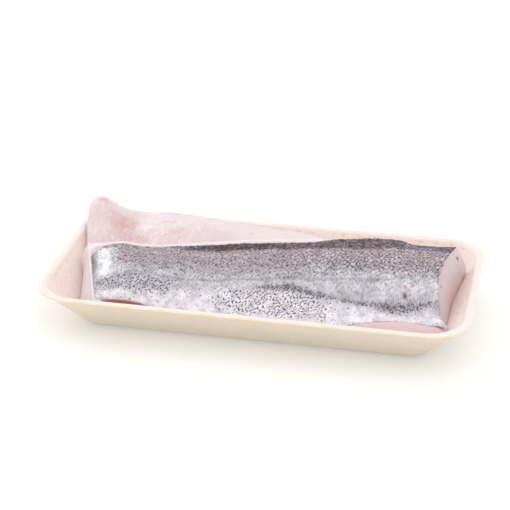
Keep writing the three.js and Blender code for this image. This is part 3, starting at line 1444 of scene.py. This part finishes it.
    def _skin(self, flesh: Shape, under: Numbers) -> Piece:
        """Cut the skin from the flesh's underside, and give it its thickness.

        Args:
            flesh: The shaped flesh.
            under: Which of its vertices have skin under them.

        Returns:
            The skin.
        """
        shape = flesh.copy()
        shape.verts.index_update()
        bare = [f for f in shape.faces if not all(under[vertex.index] for vertex in f.verts)]
        bmesh.ops.delete(shape, geom=bare, context="FACES")
        shape.normal_update()
        for vertex in shape.verts:
            vertex.co += vertex.normal * GAP
        spread = bmesh.ops.extrude_face_region(shape, geom=shape.faces[:], use_keep_orig=True)
        for vertex in spread["geom"]:
            if isinstance(vertex, bmesh.types.BMVert):
                vertex.co += vertex.normal * self.skin
        x, y, z = read_points(shape).T
        flat = np.column_stack([x, y + z])
        piece = Piece("far_skin", "far_fillet_skin", "far_skin", shape)
        piece.tones = layer(self.grey, [(self.pale_grey, ease(12.0, 20.0, z))])
        piece.maps = {"skin": flat, "scales": flat / self.scale_size}
        piece.masks = {
            "net": 0.4,
            "streaks": 0.3,
            "dashes": 0.1,
            "glint": 0.2,
            "ridge": 0.0,
            "bars": 0.2,
        }
        return piece

    def _tones(self, places: Numbers, sunk: Numbers) -> Numbers:
        """Colour the flesh: pale on top, rosier in its hollows and at its edges, where the rosier
        tone is partly painted shade.

        Args:
            places: The flesh's vertices.
            sunk: How deep each lies below the upper face.

        Returns:
            The colours, one row each.
        """
        x, y, _ = places.T
        # low at the front, towards the near fillet, where the rosier tone is partly painted shade
        low = (1 - ease(26.0, 44.0, y)) * (1 - ease(-50.0, 0.0, x))
        layers = (
            (self.rosy, 0.8 * low),
            (self.edge, 0.6 * (1 - ease(-116.0, -104.0, x))),
            # rosier deeper down the sides, partly painted shade
            (self.rosy, 0.6 * ease(2.0, 12.0, sunk)),
        )
        return stain(layer(self.pale, layers), places[:, :2], self.stains)


# The near fillet


@dataclass(frozen=True)
class Band:
    """A soft band of colour along the near fillet's skin."""

    middle: Stops
    width: Stops
    strength: Stops

    def at(self, along: Numbers, across: Numbers) -> Numbers:
        """Return how strong the band is at these shares of the skin."""
        apart = (across - line(self.middle, along)) / line(self.width, along)
        return line(self.strength, along) * hump(apart)


@dataclass(frozen=True)
class SkinPattern:
    """The drawing of the near fillet's skin, in shares along and across it."""

    belly: Colour = paint("e2dce3")
    silver: Colour = paint("c6c1c9")
    taupe: Colour = paint("ada0a6")
    rosy: Colour = paint("b2a4a9")
    # painted highlight: the white glare on the skin's curl at the tail end
    shine: Colour = paint("fdfdff")
    # painted shade: the dark grey where the skin curls down at the tail cut
    cut: Colour = paint("7f797e")
    warm_ridge: Colour = paint("aa9894")
    brown_ridge: Colour = paint("5d4846")
    dark_ridge: Colour = paint("7e6d72")
    slate_ridge: Colour = paint("8d83a0")
    # partly painted shade: the slate of the crease is partly its own darker colour and partly shade
    # in its furrow
    slate: Colour = paint("75747f")
    tan: Colour = paint("958a85")
    # where the painted highlight lies, and how wide it is
    shine_at: float = 0.058
    shine_lean: float = 0.022
    shine_width: float = 0.034
    shine_breaks: Relief = Relief(0.5, 0.35, patch=3.0)
    # the net and streaks fade under the painted highlight
    quiet_at: float = 0.047
    quiet_width: float = 0.03
    quiet_share: float = 0.75
    dashed_patch: Mound = Mound(0.13, 0.27, 0.13, 0.1, 1.5)
    belly_top: Stops = (
        (0.0, 0.14), (0.2, 0.2), (0.35, 0.25), (0.5, 0.29), (0.6, 0.29), (0.8, 0.2), (1.0, 0.2),
    )
    ridge_foot: Stops = (
        (0.26, 0.82), (0.36, 0.76), (0.45, 0.79), (0.62, 0.8), (0.8, 0.79), (0.86, 0.84),
        (0.92, 0.9), (1.0, 0.86),
    )
    ridge_depth: Stops = (
        (0.25, 0.0), (0.29, 0.8), (0.36, 1.0), (0.47, 0.95), (0.6, 0.8), (0.8, 0.85), (0.85, 0.85),
        (0.87, 0.25), (0.94, 0.3), (0.965, 1.0),
    )
    crease: Band = Band(
        middle=(
            (0.45, 0.29), (0.5, 0.31), (0.57, 0.325), (0.6, 0.295), (0.64, 0.28), (0.67, 0.272),
            (0.73, 0.25), (0.8, 0.235), (0.86, 0.22), (0.93, 0.245), (0.99, 0.262),
        ),
        width=(
            (0.5, 0.02), (0.57, 0.035), (0.64, 0.016), (0.7, 0.012), (0.79, 0.014), (0.84, 0.04),
            (0.9, 0.035), (1.0, 0.022),
        ),
        strength=(
            (0.44, 0.0), (0.5, 0.75), (0.58, 0.95), (0.64, 0.8), (0.69, 0.65), (0.78, 0.65),
            (0.83, 0.95), (0.9, 0.8), (1.0, 0.6),
        ),
    )
    lateral: Band = Band(
        middle=(
            (0.15, 0.37), (0.19, 0.36), (0.27, 0.337), (0.32, 0.342), (0.37, 0.353), (0.47, 0.383),
            (0.53, 0.397), (0.67, 0.408), (0.83, 0.42), (0.89, 0.458), (0.99, 0.505),
        ),
        width=((0.0, 0.014), (0.8, 0.012), (0.85, 0.007)),
        strength=((0.13, 0.0), (0.2, 0.6), (0.5, 0.55), (0.8, 0.45), (1.0, 0.5)),
    )
    smudges: tuple[Stain, ...] = (
        Stain((0.565, 0.417), (0.02, 0.02), 0.6, paint("6f6667")),
        Stain((0.787, 0.4), (0.018, 0.022), 0.65, paint("6b6263")),
        Stain((0.745, 0.52), (0.012, 0.03), 0.6, paint("6b6263")),
        Stain((0.36, 0.44), (0.012, 0.03), 0.4, paint("8d8384")),
        Stain((0.95, 0.3), (0.02, 0.03), 0.35, paint("7b7a80")),
        Stain((0.127, 0.133), (0.006, 0.018), 0.85, paint("a77a68")),
        Stain((0.193, 0.075), (0.004, 0.015), 0.75, paint("a5735f")),
        Stain((0.28, 0.16), (0.005, 0.012), 0.5, paint("c9a598")),
        Stain((0.879, 0.303), (0.008, 0.022), 1.0, paint("640208")),
        Stain((0.903, 0.383), (0.007, 0.016), 0.7, paint("a05c5c")),
    )

    def ridge(self, along: Numbers, across: Numbers) -> Numbers:
        """Return how strong the dark band under the ridge is."""
        rise = across - line(self.ridge_foot, along)
        return line(self.ridge_depth, along) * ease(-0.025, 0.03, rise)

    def tones(self, along: Numbers, across: Numbers) -> Numbers:
        """Colour the ground that the net of scales is drawn on.

        Args:
            along: Shares from the tail cut to the head cut.
            across: Shares from the belly edge to the ridge.

        Returns:
            The colours, one row each.
        """
        headward = ease(0.56, 0.72, along)
        tailward = 1 - ease(0.24, 0.32, along)
        above_belly = ease(-0.06, 0.05, across - line(self.belly_top, along))
        high = ease(0.3, 0.42, across) * (1 - ease(0.8, 0.92, across))
        # breaks in the painted highlight
        broken = self.shine_breaks.at(np.column_stack([22.0 * along, 2.2 * across]))
        from_shine = along - self.shine_at + self.shine_lean * across
        pale_flank = ease(0.74, 0.86, along) * (1 - ease(0.4, 0.58, across)) * above_belly
        # painted shade where the skin curls down at the tail cut
        curl_shade = (1 - ease(0.01, 0.032, along)) * ease(0.2, 0.6, across)
        layers = (
            (self.silver, above_belly),
            (self.taupe, ease(0.34, 0.56, across) * (1 - headward)),
            (self.rosy, ease(0.42, 0.6, across) * headward),
            (self.warm_ridge, 0.9 * ease(0.74, 0.86, across) * tailward),
            (self.slate_ridge, 0.9 * ease(0.82, 0.9, across) * ease(0.85, 0.88, along)),
            (self.brown_ridge, self.ridge(along, across)),
            (self.dark_ridge, self.ridge(along, across) * ease(0.45, 0.6, along)),
            (self.belly, 0.35 * pale_flank),
            # the crease's slate: partly its own darker colour, partly painted shade in the furrow
            (self.slate, 0.65 * self.crease.at(along, across)),
            (self.tan, self.lateral.at(along, across)),
            # painted highlight on the skin's curl at the tail end
            (self.shine, (1.0 + broken) * hump(from_shine / self.shine_width) * high),
            # painted shade on the skin's curl at the tail cut
            (self.cut, 0.9 * curl_shade),
        )
        return stain(layer(self.belly, layers), np.column_stack([along, across]), self.smudges)

    def masks(self, along: Numbers, across: Numbers) -> dict[str, Numbers]:
        """Say where the net, the streaks, the dashes, the bars and the glints show.

        Args:
            along: Shares from the tail cut to the head cut.
            across: Shares from the belly edge to the ridge.

        Returns:
            The masks by name.
        """
        headward = ease(0.5, 0.68, along)
        above = ease(-0.04, 0.12, across - line(self.belly_top, along))
        upper = ease(0.36, 0.58, across)
        # where the painted highlight lies, so that the net fades there
        shine = hump((along - self.quiet_at) / self.quiet_width) * ease(0.25, 0.4, across)
        shine = shine * (1 - ease(0.76, 0.86, across))
        crease = self.crease.at(along, across)
        ridge = self.ridge(along, across)
        net = above * (0.35 - 0.15 * headward) + upper * (0.3 + 0.5 * headward)
        net = net + ridge + 0.6 * crease
        streaks = above * (0.3 + 0.4 * upper * (1 - 0.6 * headward)) + ridge + 0.4 * crease
        left_patch = self.dashed_patch.at(along, across)
        belly_patch = ease(0.26, 0.42, along) * (1 - ease(0.6, 0.74, along))
        belly_patch = belly_patch * ease(0.03, 0.08, across) * (1 - ease(0.24, 0.34, across))
        thin = 0.35 * (ease(0.6, 0.7, along) + 1 - ease(0.2, 0.35, along))
        thin = thin * (1 - ease(0.2, 0.26, across))
        quiet = 1 - self.quiet_share * shine
        return {
            "net": np.clip(net, 0.0, 1.0) * quiet,
            "streaks": np.clip(streaks, 0.0, 1.0) * quiet,
            "dashes": np.clip(left_patch + belly_patch + thin + 1.4 * crease, 0.0, 1.0),
            "glint": (0.16 + 0.2 * above) * (1 - ridge),
            "ridge": ridge,
            "bars": np.clip(0.25 * upper + 0.6 * ease(0.7, 0.9, across) + ridge, 0.0, 1.0) * quiet,
        }


@dataclass
class NearFillet:
    """The fillet that lies skin up: a domed slab over the far fillet and the near wall."""

    ridge: Course = Course(
        (
            (-118.0, 2.0, 33.5), (-105.0, 1.5, 35.4), (-94.0, 3.0, 37.0), (-79.0, 5.5, 34.5),
            (-52.0, 10.0, 36.0), (-13.0, 16.0, 39.2), (19.0, 21.0, 40.6), (50.0, 26.0, 42.0),
            (70.0, 29.0, 42.8), (82.0, 31.0, 41.5), (92.0, 32.0, 39.0), (118.0, 33.0, 39.3),
        )
    )
    belly: Course = Course(
        (
            (-98.0, -51.5, 21.5), (-75.0, -52.0, 21.5), (-30.0, -53.0, 19.5), (40.0, -53.0, 19.0),
            (90.0, -51.0, 19.5), (120.0, -43.0, 18.0),
        )
    )
    skin: float = 1.0
    skin_width: float = 70.0
    skin_stretch: float = 1.08
    edge_round: float = 1.6
    edge_dip: float = 0.7
    knob_rise: float = 1.8
    knob_inset: float = 1.6
    knob_size: float = 2.6
    tip_size: float = 5.0
    tip_lift: Point = (1.6, -0.6, 1.4)
    scale_sizes: Stops = ((0.0, 1.8), (0.45, 2.0), (0.62, 2.5), (1.0, 2.9))
    scale_height: float = 1.35
    scale_relief: Relief = Relief(1.0, 1.6, patch=1.0)
    scale_rise: float = 0.07
    ridge_scale_rise: float = 0.3
    waves: Relief = Relief(0.4, 16.0, patch=4.0)
    tucks: Relief = Relief(0.25, 4.5, patch=8.0)
    settling: float = 0.2
    cut_waves: Relief = Relief(0.3, 9.0, patch=2.0)
    cut_length: float = 60.0
    cut_patch: float = 9.0  # picks another part of the relief at the cuts
    tail_edge: Relief = Relief(0.5, 5.0)
    head_edge: Relief = Relief(1.1, 1.6, patch=4.0)
    belly_edge: Relief = Relief(0.008, 6.0, octaves=3, patch=2.0)  # in shares across
    ridge_edge: Relief = Relief(0.008, 9.0, patch=3.0)  # in shares across
    ridge_scales: Relief = Relief(0.02, 1.9, patch=6.0)  # in shares across
    dome: float = 10.5
    crease: float = 5.0
    crease_at: float = 0.2
    crease_width: float = 0.09
    head_retreat: float = 7.5
    head_bulge: float = 8.0
    tail_bulge: Stops = ((0.0, 8.0), (0.2, 12.5), (0.4, 9.5), (0.8, 5.0), (1.0, 6.5))
    bulge_depth: float = 9.0
    splay: float = 0.12
    tail_flat: float = 0.85
    tail_bare: float = 2.0
    head_bare: float = 0.2
    tail_rounding: float = 9.0
    cover_blend: float = 0.8
    thinnest: float = 0.5
    deepening: float = 1.3
    ridge_bare: float = 0.06
    belly_bare: Stops = (
        (0.0, 0.03), (0.03, 0.048), (0.14, 0.045), (0.17, 0.02), (0.7, 0.02), (0.78, 0.08),
        (0.83, 0.1), (0.92, 0.095), (0.98, 0.06), (1.0, 0.03),
    )
    skin_steps: tuple[int, int, int] = (320, 124, 2)
    flesh_steps: tuple[int, int, int] = (260, 92, 22)
    pattern: SkinPattern = SkinPattern()
    pale: Colour = paint("ddd1d4")
    # painted shade: the head cut face is darker, standing in for shade on the face turned from the
    # key lamp
    cut: Colour = paint("c9b8ba")
    rosy: Colour = paint("d6bdbc")
    # partly painted shade: rosier and darker deeper down the head cut
    deep: Colour = paint("dcb6b0")
    # dark red-brown laid on the bare flesh just under the belly edge near the tail
    red_brown: Colour = paint("8c4636")
    stains: tuple[Stain, ...] = (
        Stain((119.3, 24.5, 35.0), (1.7, 1.7, 1.3), 1.0, paint("74141e")),
        Stain((113.2, -13.7, 34.0), (0.8, 0.8, 0.8), 0.9, paint("5c3b40")),
        Stain((122.0, -2.0, 22.0), (8.0, 10.0, 7.0), 0.5, paint("cf9f98")),
    )

    def _chords(self, along: Numbers) -> tuple[Numbers, Numbers, Numbers]:
        """Find the belly edge and the ways from it.

        Args:
            along: Shares from the tail cut to the head cut.

        Returns:
            The belly edge, the way from it to the ridge, and the way out square to that.
        """
        foot = self.belly.at(along)
        chord = self.ridge.at(along) - foot
        outward = np.stack([np.zeros(len(chord)), -chord[:, 2], chord[:, 1]], axis=-1)
        return foot, chord, outward / np.linalg.norm(outward, axis=1, keepdims=True)

    def _flat(self, along: Numbers, across: Numbers) -> Numbers:
        """Unroll the skin.

        Args:
            along: Shares from the tail cut to the head cut.
            across: Shares from the belly edge to the ridge.

        Returns:
            Flat places in millimetres, one row each.
        """
        chord = self._chords(along)[1]
        width = self.skin_stretch * np.linalg.norm(chord[:, 1:], axis=1)
        return np.column_stack([along * self.ridge.length(), (across - 0.5) * width])

    def face(self, along: Numbers, across: Numbers) -> Numbers:
        """Find places on the fillet's outer face.

        Args:
            along: Shares from the tail cut to the head cut.
            across: Shares from the belly edge to the ridge.

        Returns:
            The places, one row each.
        """
        foot, chord, outward = self._chords(along)
        headward = ease(0.45, 0.75, along)
        fullness = (0.88 + 0.12 * headward) * (1 - self.tail_flat * (1 - ease(0.0, 0.09, along)))
        furrow = self.crease * headward * hump((across - self.crease_at) / self.crease_width)
        rise = self.dome * fullness * np.sin(np.pi * across) - furrow
        rise = rise + self._relief(along, across)
        places = foot + chord * across[:, None] + outward * rise[:, None]
        drawn = np.sin(np.pi * np.clip(across, 0.0, 1.0) ** 0.85) * ease(0.86, 1.0, along)
        places[:, 0] -= self.head_retreat * drawn
        return places

    def _relief(self, along: Numbers, across: Numbers) -> Numbers:
        """Find the slight unevenness of the skin and of the flesh beside it.

        Args:
            along: Shares from the tail cut to the head cut.
            across: Shares from the belly edge to the ridge.

        Returns:
            The height of the rise at each place.
        """
        flat = self._flat(along, across)
        tucks = self.tucks.at(flat * np.array([0.5, 1.0]))
        return self.waves.at(flat) + tucks - self.settling

    def _into_flesh(self, along: Numbers, across: Numbers, depth: Numbers) -> Numbers:
        """Find the way from the face down into the flesh, which bulges out at both cuts.

        Args:
            along: Shares from the tail cut to the head cut.
            across: Shares from the belly edge to the ridge.
            depth: How deep to go.

        Returns:
            The ways, one row each.
        """
        lean = 1 - np.exp(-np.maximum(depth - self.skin - GAP, 0.0) / self.bulge_depth)
        tailward = line(self.tail_bulge, across) * (1 - ease(0.0, 0.2, along))
        headward = self.head_bulge * ease(0.85, 1.0, along)
        sideways = (self.splay - 2 * self.splay * across) * depth
        return np.column_stack([(headward - tailward) * lean, sideways, -depth])

    def _skin_ends(self, across: Numbers) -> tuple[Numbers, Numbers]:
        """Find where the skin starts and stops.

        Args:
            across: Shares from the belly edge to the ridge.

        Returns:
            How far it stays from the tail cut and from the head cut, in millimetres.
        """
        level = np.zeros(len(across))
        side = np.column_stack([level, across * self.cut_length, level + self.cut_patch])
        rounding = self.tail_rounding * ease(0.75, 1.0, across) ** 2
        start = self.tail_bare + rounding + self.tail_edge.at(side)
        return start, self.head_bare + np.abs(self.head_edge.at(side)) * ease(0.2, 0.5, across)

    def _skin_sides(self, along: Numbers) -> tuple[Numbers, Numbers]:
        """Find the skin's two long edges, the upper of which is ragged.

        Args:
            along: Shares from the tail cut to the head cut.

        Returns:
            Their shares across, from the belly edge to the ridge.
        """
        run = (along * self.ridge.length())[:, None]
        low = line(self.belly_bare, along) + self.belly_edge.at(run)
        bare = self.ridge_bare * (1 - ease(0.6, 0.68, along))
        ragged = self.ridge_scales.at(run) + self.ridge_edge.at(run)
        return low, np.minimum(1 - bare + ragged, 1.0)

    def build_skin(self) -> Piece:
        """Make the skin, a thin sheet with rounded edges and a swollen, lifted tip at the head cut.

        Returns:
            The skin.
        """
        shape = fine_box(*self.skin_steps)
        run, rise, through = read_points(shape).T
        length = self.ridge.length()
        start, stop = self._skin_ends(rise)
        along = (start + (length - start - stop) * run) / length
        low, high = self._skin_sides(along)
        across = low + (high - low) * rise
        flat = self._flat(along, across)
        to_side = np.minimum(rise, 1 - rise) * (high - low) * self.skin_width
        to_head = (1 - run) * length
        to_edge = np.minimum(to_side, np.minimum(run * length, to_head))
        dip = self.edge_dip * (1 - ease(0.0, self.edge_round, to_edge))
        scaly = self.scale_rise + self.ridge_scale_rise * self.pattern.ridge(along, across)
        scaly = scaly * self.scale_relief.at(flat)
        knob = self.knob_rise * (rise < 0.5)
        for apart in (to_head, to_side):
            knob = knob * hump((apart - self.knob_inset) / self.knob_size)
        lift = self.skin * (through - 1) + (scaly - dip + knob) * through
        places = self.face(along, across) + self._chords(along)[2] * lift[:, None]
        tip = hump(to_head / self.tip_size) * hump(rise * self.skin_width / self.tip_size)
        places += np.outer(tip, self.tip_lift)
        move_points(shape, places)
        piece = Piece("near_skin", "near_fillet_skin", "near_skin", shape)
        piece.tones = self.pattern.tones(along, across)
        piece.masks = self.pattern.masks(along, across)
        piece.maps = {"skin": flat, "scales": self._scale_map(along, flat)}
        return piece

    def _scale_map(self, along: Numbers, flat: Numbers) -> Numbers:
        """Count the scales, which grow towards the head.

        Args:
            along: Shares from the tail cut to the head cut.
            flat: Places on the unrolled skin.

        Returns:
            The places counted in scales, one row each.
        """
        steps = 400
        walk = np.linspace(0.0, 1.0, steps)
        counted = np.cumsum(self.ridge.length() / line(self.scale_sizes, walk)) / steps
        across = flat[:, 1] / line(self.scale_sizes, along) / self.scale_height
        return np.column_stack([np.interp(along, walk, counted), across])

    def build_flesh(self, tray: BVHTree, far: BVHTree) -> Piece:
        """Make the flesh, which fills the room between the skin and what carries it.

        Args:
            tray: The tray.
            far: The far fillet's flesh.

        Returns:
            The flesh.
        """
        shape = fine_box(*self.flesh_steps)
        along, across, through = read_points(shape).T
        face = self.face(along, across)
        first = self._cover(along, across) * (self.skin + GAP)
        depth = face[:, 2].copy()
        for _ in range(SETTLINGS):
            foot = face + self._into_flesh(along, across, depth)
            rest = resting_height([(tray, -PRESS), (far, -PRESS)], foot[:, 0], foot[:, 1])
            depth = np.maximum(face[:, 2] - rest, first + self.thinnest)
        sunk = first + (depth - first) * (1 - through) ** self.deepening
        places = face + self._into_flesh(along, across, sunk)
        swell = np.minimum(1.0, sunk / 3.0) * ease(0.9, 1.0, along)
        places[:, 0] += self.cut_waves.at(places) * swell
        move_points(shape, places)
        piece = Piece("near_flesh", "near_fillet_flesh", "near_flesh", shape)
        piece.tones = self._flesh_tones(along, across, sunk, places)
        piece.maps = {"fibres": np.column_stack([places[:, 1] + places[:, 0], places[:, 2]])}
        piece.masks = {"fibrous": 0.0, "glint": 0.05}
        return piece

    def _cover(self, along: Numbers, across: Numbers) -> Numbers:
        """Find what the skin covers.

        Args:
            along: Shares from the tail cut to the head cut.
            across: Shares from the belly edge to the ridge.

        Returns:
            How far under the skin each place lies, from 0 where it is bare to 1.
        """
        start, stop = self._skin_ends(across)
        low, high = self._skin_sides(along)
        length = self.ridge.length()
        inside = np.minimum(across - low, high - across) * self.skin_width
        inside = np.minimum(inside, along * length - start)
        inside = np.minimum(inside, (1 - along) * length - stop)
        return ease(-self.cover_blend, 0.0, inside)

    def _flesh_tones(
        self, along: Numbers, across: Numbers, sunk: Numbers, places: Numbers
    ) -> Numbers:
        """Colour the flesh: pale along the ridge and the tail cut, rosy below the belly edge, and
        darker down the head cut as painted shade.

        Args:
            along: Shares from the tail cut to the head cut.
            across: Shares from the belly edge to the ridge.
            sunk: Depths below the outer face.
            places: The flesh's vertices.

        Returns:
            The colours, one row each.
        """
        at_head = ease(0.97, 0.995, along)
        at_tail = 1 - ease(0.0, 0.04, along)
        belly_strip = (1 - ease(0.09, 0.14, across)) * ease(0.68, 0.74, along)
        # a strip of dark red-brown on the bare flesh just under the belly edge near the tail
        red_brown_strip = (1 - ease(0.05, 0.09, across)) * ease(0.015, 0.035, along)
        red_brown_strip = red_brown_strip * (1 - ease(0.14, 0.17, along)) * (1 - ease(3.0, 6.0, sunk))
        layers = (
            # painted shade on the head cut face
            (self.cut, at_head),
            # rosier deeper down the head cut, partly painted shade
            (self.deep, 0.7 * at_head * ease(9.0, 24.0, sunk)),
            (self.rosy, 0.9 * belly_strip),
            (self.rosy, 0.2 * at_tail * ease(1.0, 6.0, sunk)),
            (self.red_brown, 0.95 * red_brown_strip),
        )
        return stain(layer(self.pale, layers), places, self.stains)


# The studio


@dataclass(frozen=True)
class Lamp:
    """A large soft square lamp that faces the tray."""

    name: str
    power: float
    size: float
    place: Point


@dataclass
class Studio:
    """A white table under a white sky and two soft lamps, and the camera."""

    aim: Point = (-22.4, 72.24, 0.0)
    distance: float = 1031.98
    azimuth: float = 12.6
    elevation: float = 26.48
    roll: float = -0.5
    lens: float = 105.95
    sensor: float = 36.0
    sky: float = 1.0
    lamps: tuple[Lamp, ...] = (
        Lamp("key", 7.0, 1.6, (-1.1, 0.8, 1.1)),
        Lamp("fill", 3.5, 1.2, (0.5, -0.25, 1.1)),
    )
    table: float = 3.0
    table_drop: float = 0.1

    def lay_table(self) -> None:
        """Lay the table, which isn't part of the object."""
        shape = bmesh.new()
        bmesh.ops.create_grid(shape, x_segments=2, y_segments=2, size=self.table)
        drop = Vector((0.0, 0.0, -self.table_drop * MM))
        bmesh.ops.translate(shape, vec=drop, verts=shape.verts[:])
        mesh = bpy.data.meshes.new("table")
        shape.to_mesh(mesh)
        shape.free()
        mesh.materials.append(TableFinish().material())
        floor = bpy.data.objects.new("table", mesh)
        bpy.context.scene.collection.objects.link(floor)

    def light(self) -> None:
        """Light the table from a white sky and the soft lamps."""
        world = bpy.data.worlds.new("white_sky")
        world.use_nodes = True
        background = world.node_tree.nodes["Background"]
        background.inputs["Color"].default_value = (1.0, 1.0, 1.0, 1.0)
        background.inputs["Strength"].default_value = self.sky
        bpy.context.scene.world = world
        for lamp in self.lamps:
            panel = bpy.data.lights.new(lamp.name, "AREA")
            panel.energy = lamp.power
            panel.size = lamp.size
            thing = bpy.data.objects.new(lamp.name, panel)
            thing.location = lamp.place
            thing.rotation_euler = (-Vector(lamp.place)).to_track_quat("-Z", "Y").to_euler()
            bpy.context.scene.collection.objects.link(thing)
        bpy.context.scene.view_settings.view_transform = "Standard"

    def set_camera(self) -> None:
        """Put the camera where the photographer's was."""
        azimuth, elevation = math.radians(self.azimuth), math.radians(self.elevation)
        back = Vector(
            (
                math.sin(azimuth) * math.cos(elevation),
                -math.cos(azimuth) * math.cos(elevation),
                math.sin(elevation),
            )
        )
        right = (-back).cross(Vector((0.0, 0.0, 1.0))).normalized()
        upright = Matrix((right, back.cross(right), back)).transposed().to_4x4()
        lens = bpy.data.cameras.new("camera")
        lens.lens = self.lens
        lens.sensor_width = self.sensor
        camera = bpy.data.objects.new("camera", lens)
        eye = (Vector(self.aim) + back * self.distance) * MM
        roll = Matrix.Rotation(math.radians(self.roll), 4, "Z")
        camera.matrix_world = Matrix.Translation(eye) @ upright @ roll
        bpy.context.scene.collection.objects.link(camera)
        bpy.context.scene.camera = camera


def main() -> None:
    """Build the tray, the two fillets and the studio."""
    logging.basicConfig(level=logging.INFO, format="%(name)s %(message)s")
    effects = Effects()
    studio = Studio()
    studio.set_camera()
    studio.lay_table()
    studio.light()
    tray = FoamTray()
    foam = tray.build()
    foam_surface = foam.surface()
    far_flesh, far_skin = FarFillet(tray).build(foam_surface)
    near = NearFillet()
    near_flesh = near.build_flesh(foam_surface, far_flesh.surface())
    near_skin = near.build_skin()
    foam.place(FoamFinish().material(effects))
    skin = SkinFinish()
    near_skin.place(skin.material("near_skin", effects))
    far_skin.place(skin.material("far_skin", effects))
    flesh = FleshFinish()
    near_flesh.place(flesh.material("near_flesh", effects))
    far_flesh.place(flesh.material("far_flesh", effects))


if __name__ == "__main__":
    main()
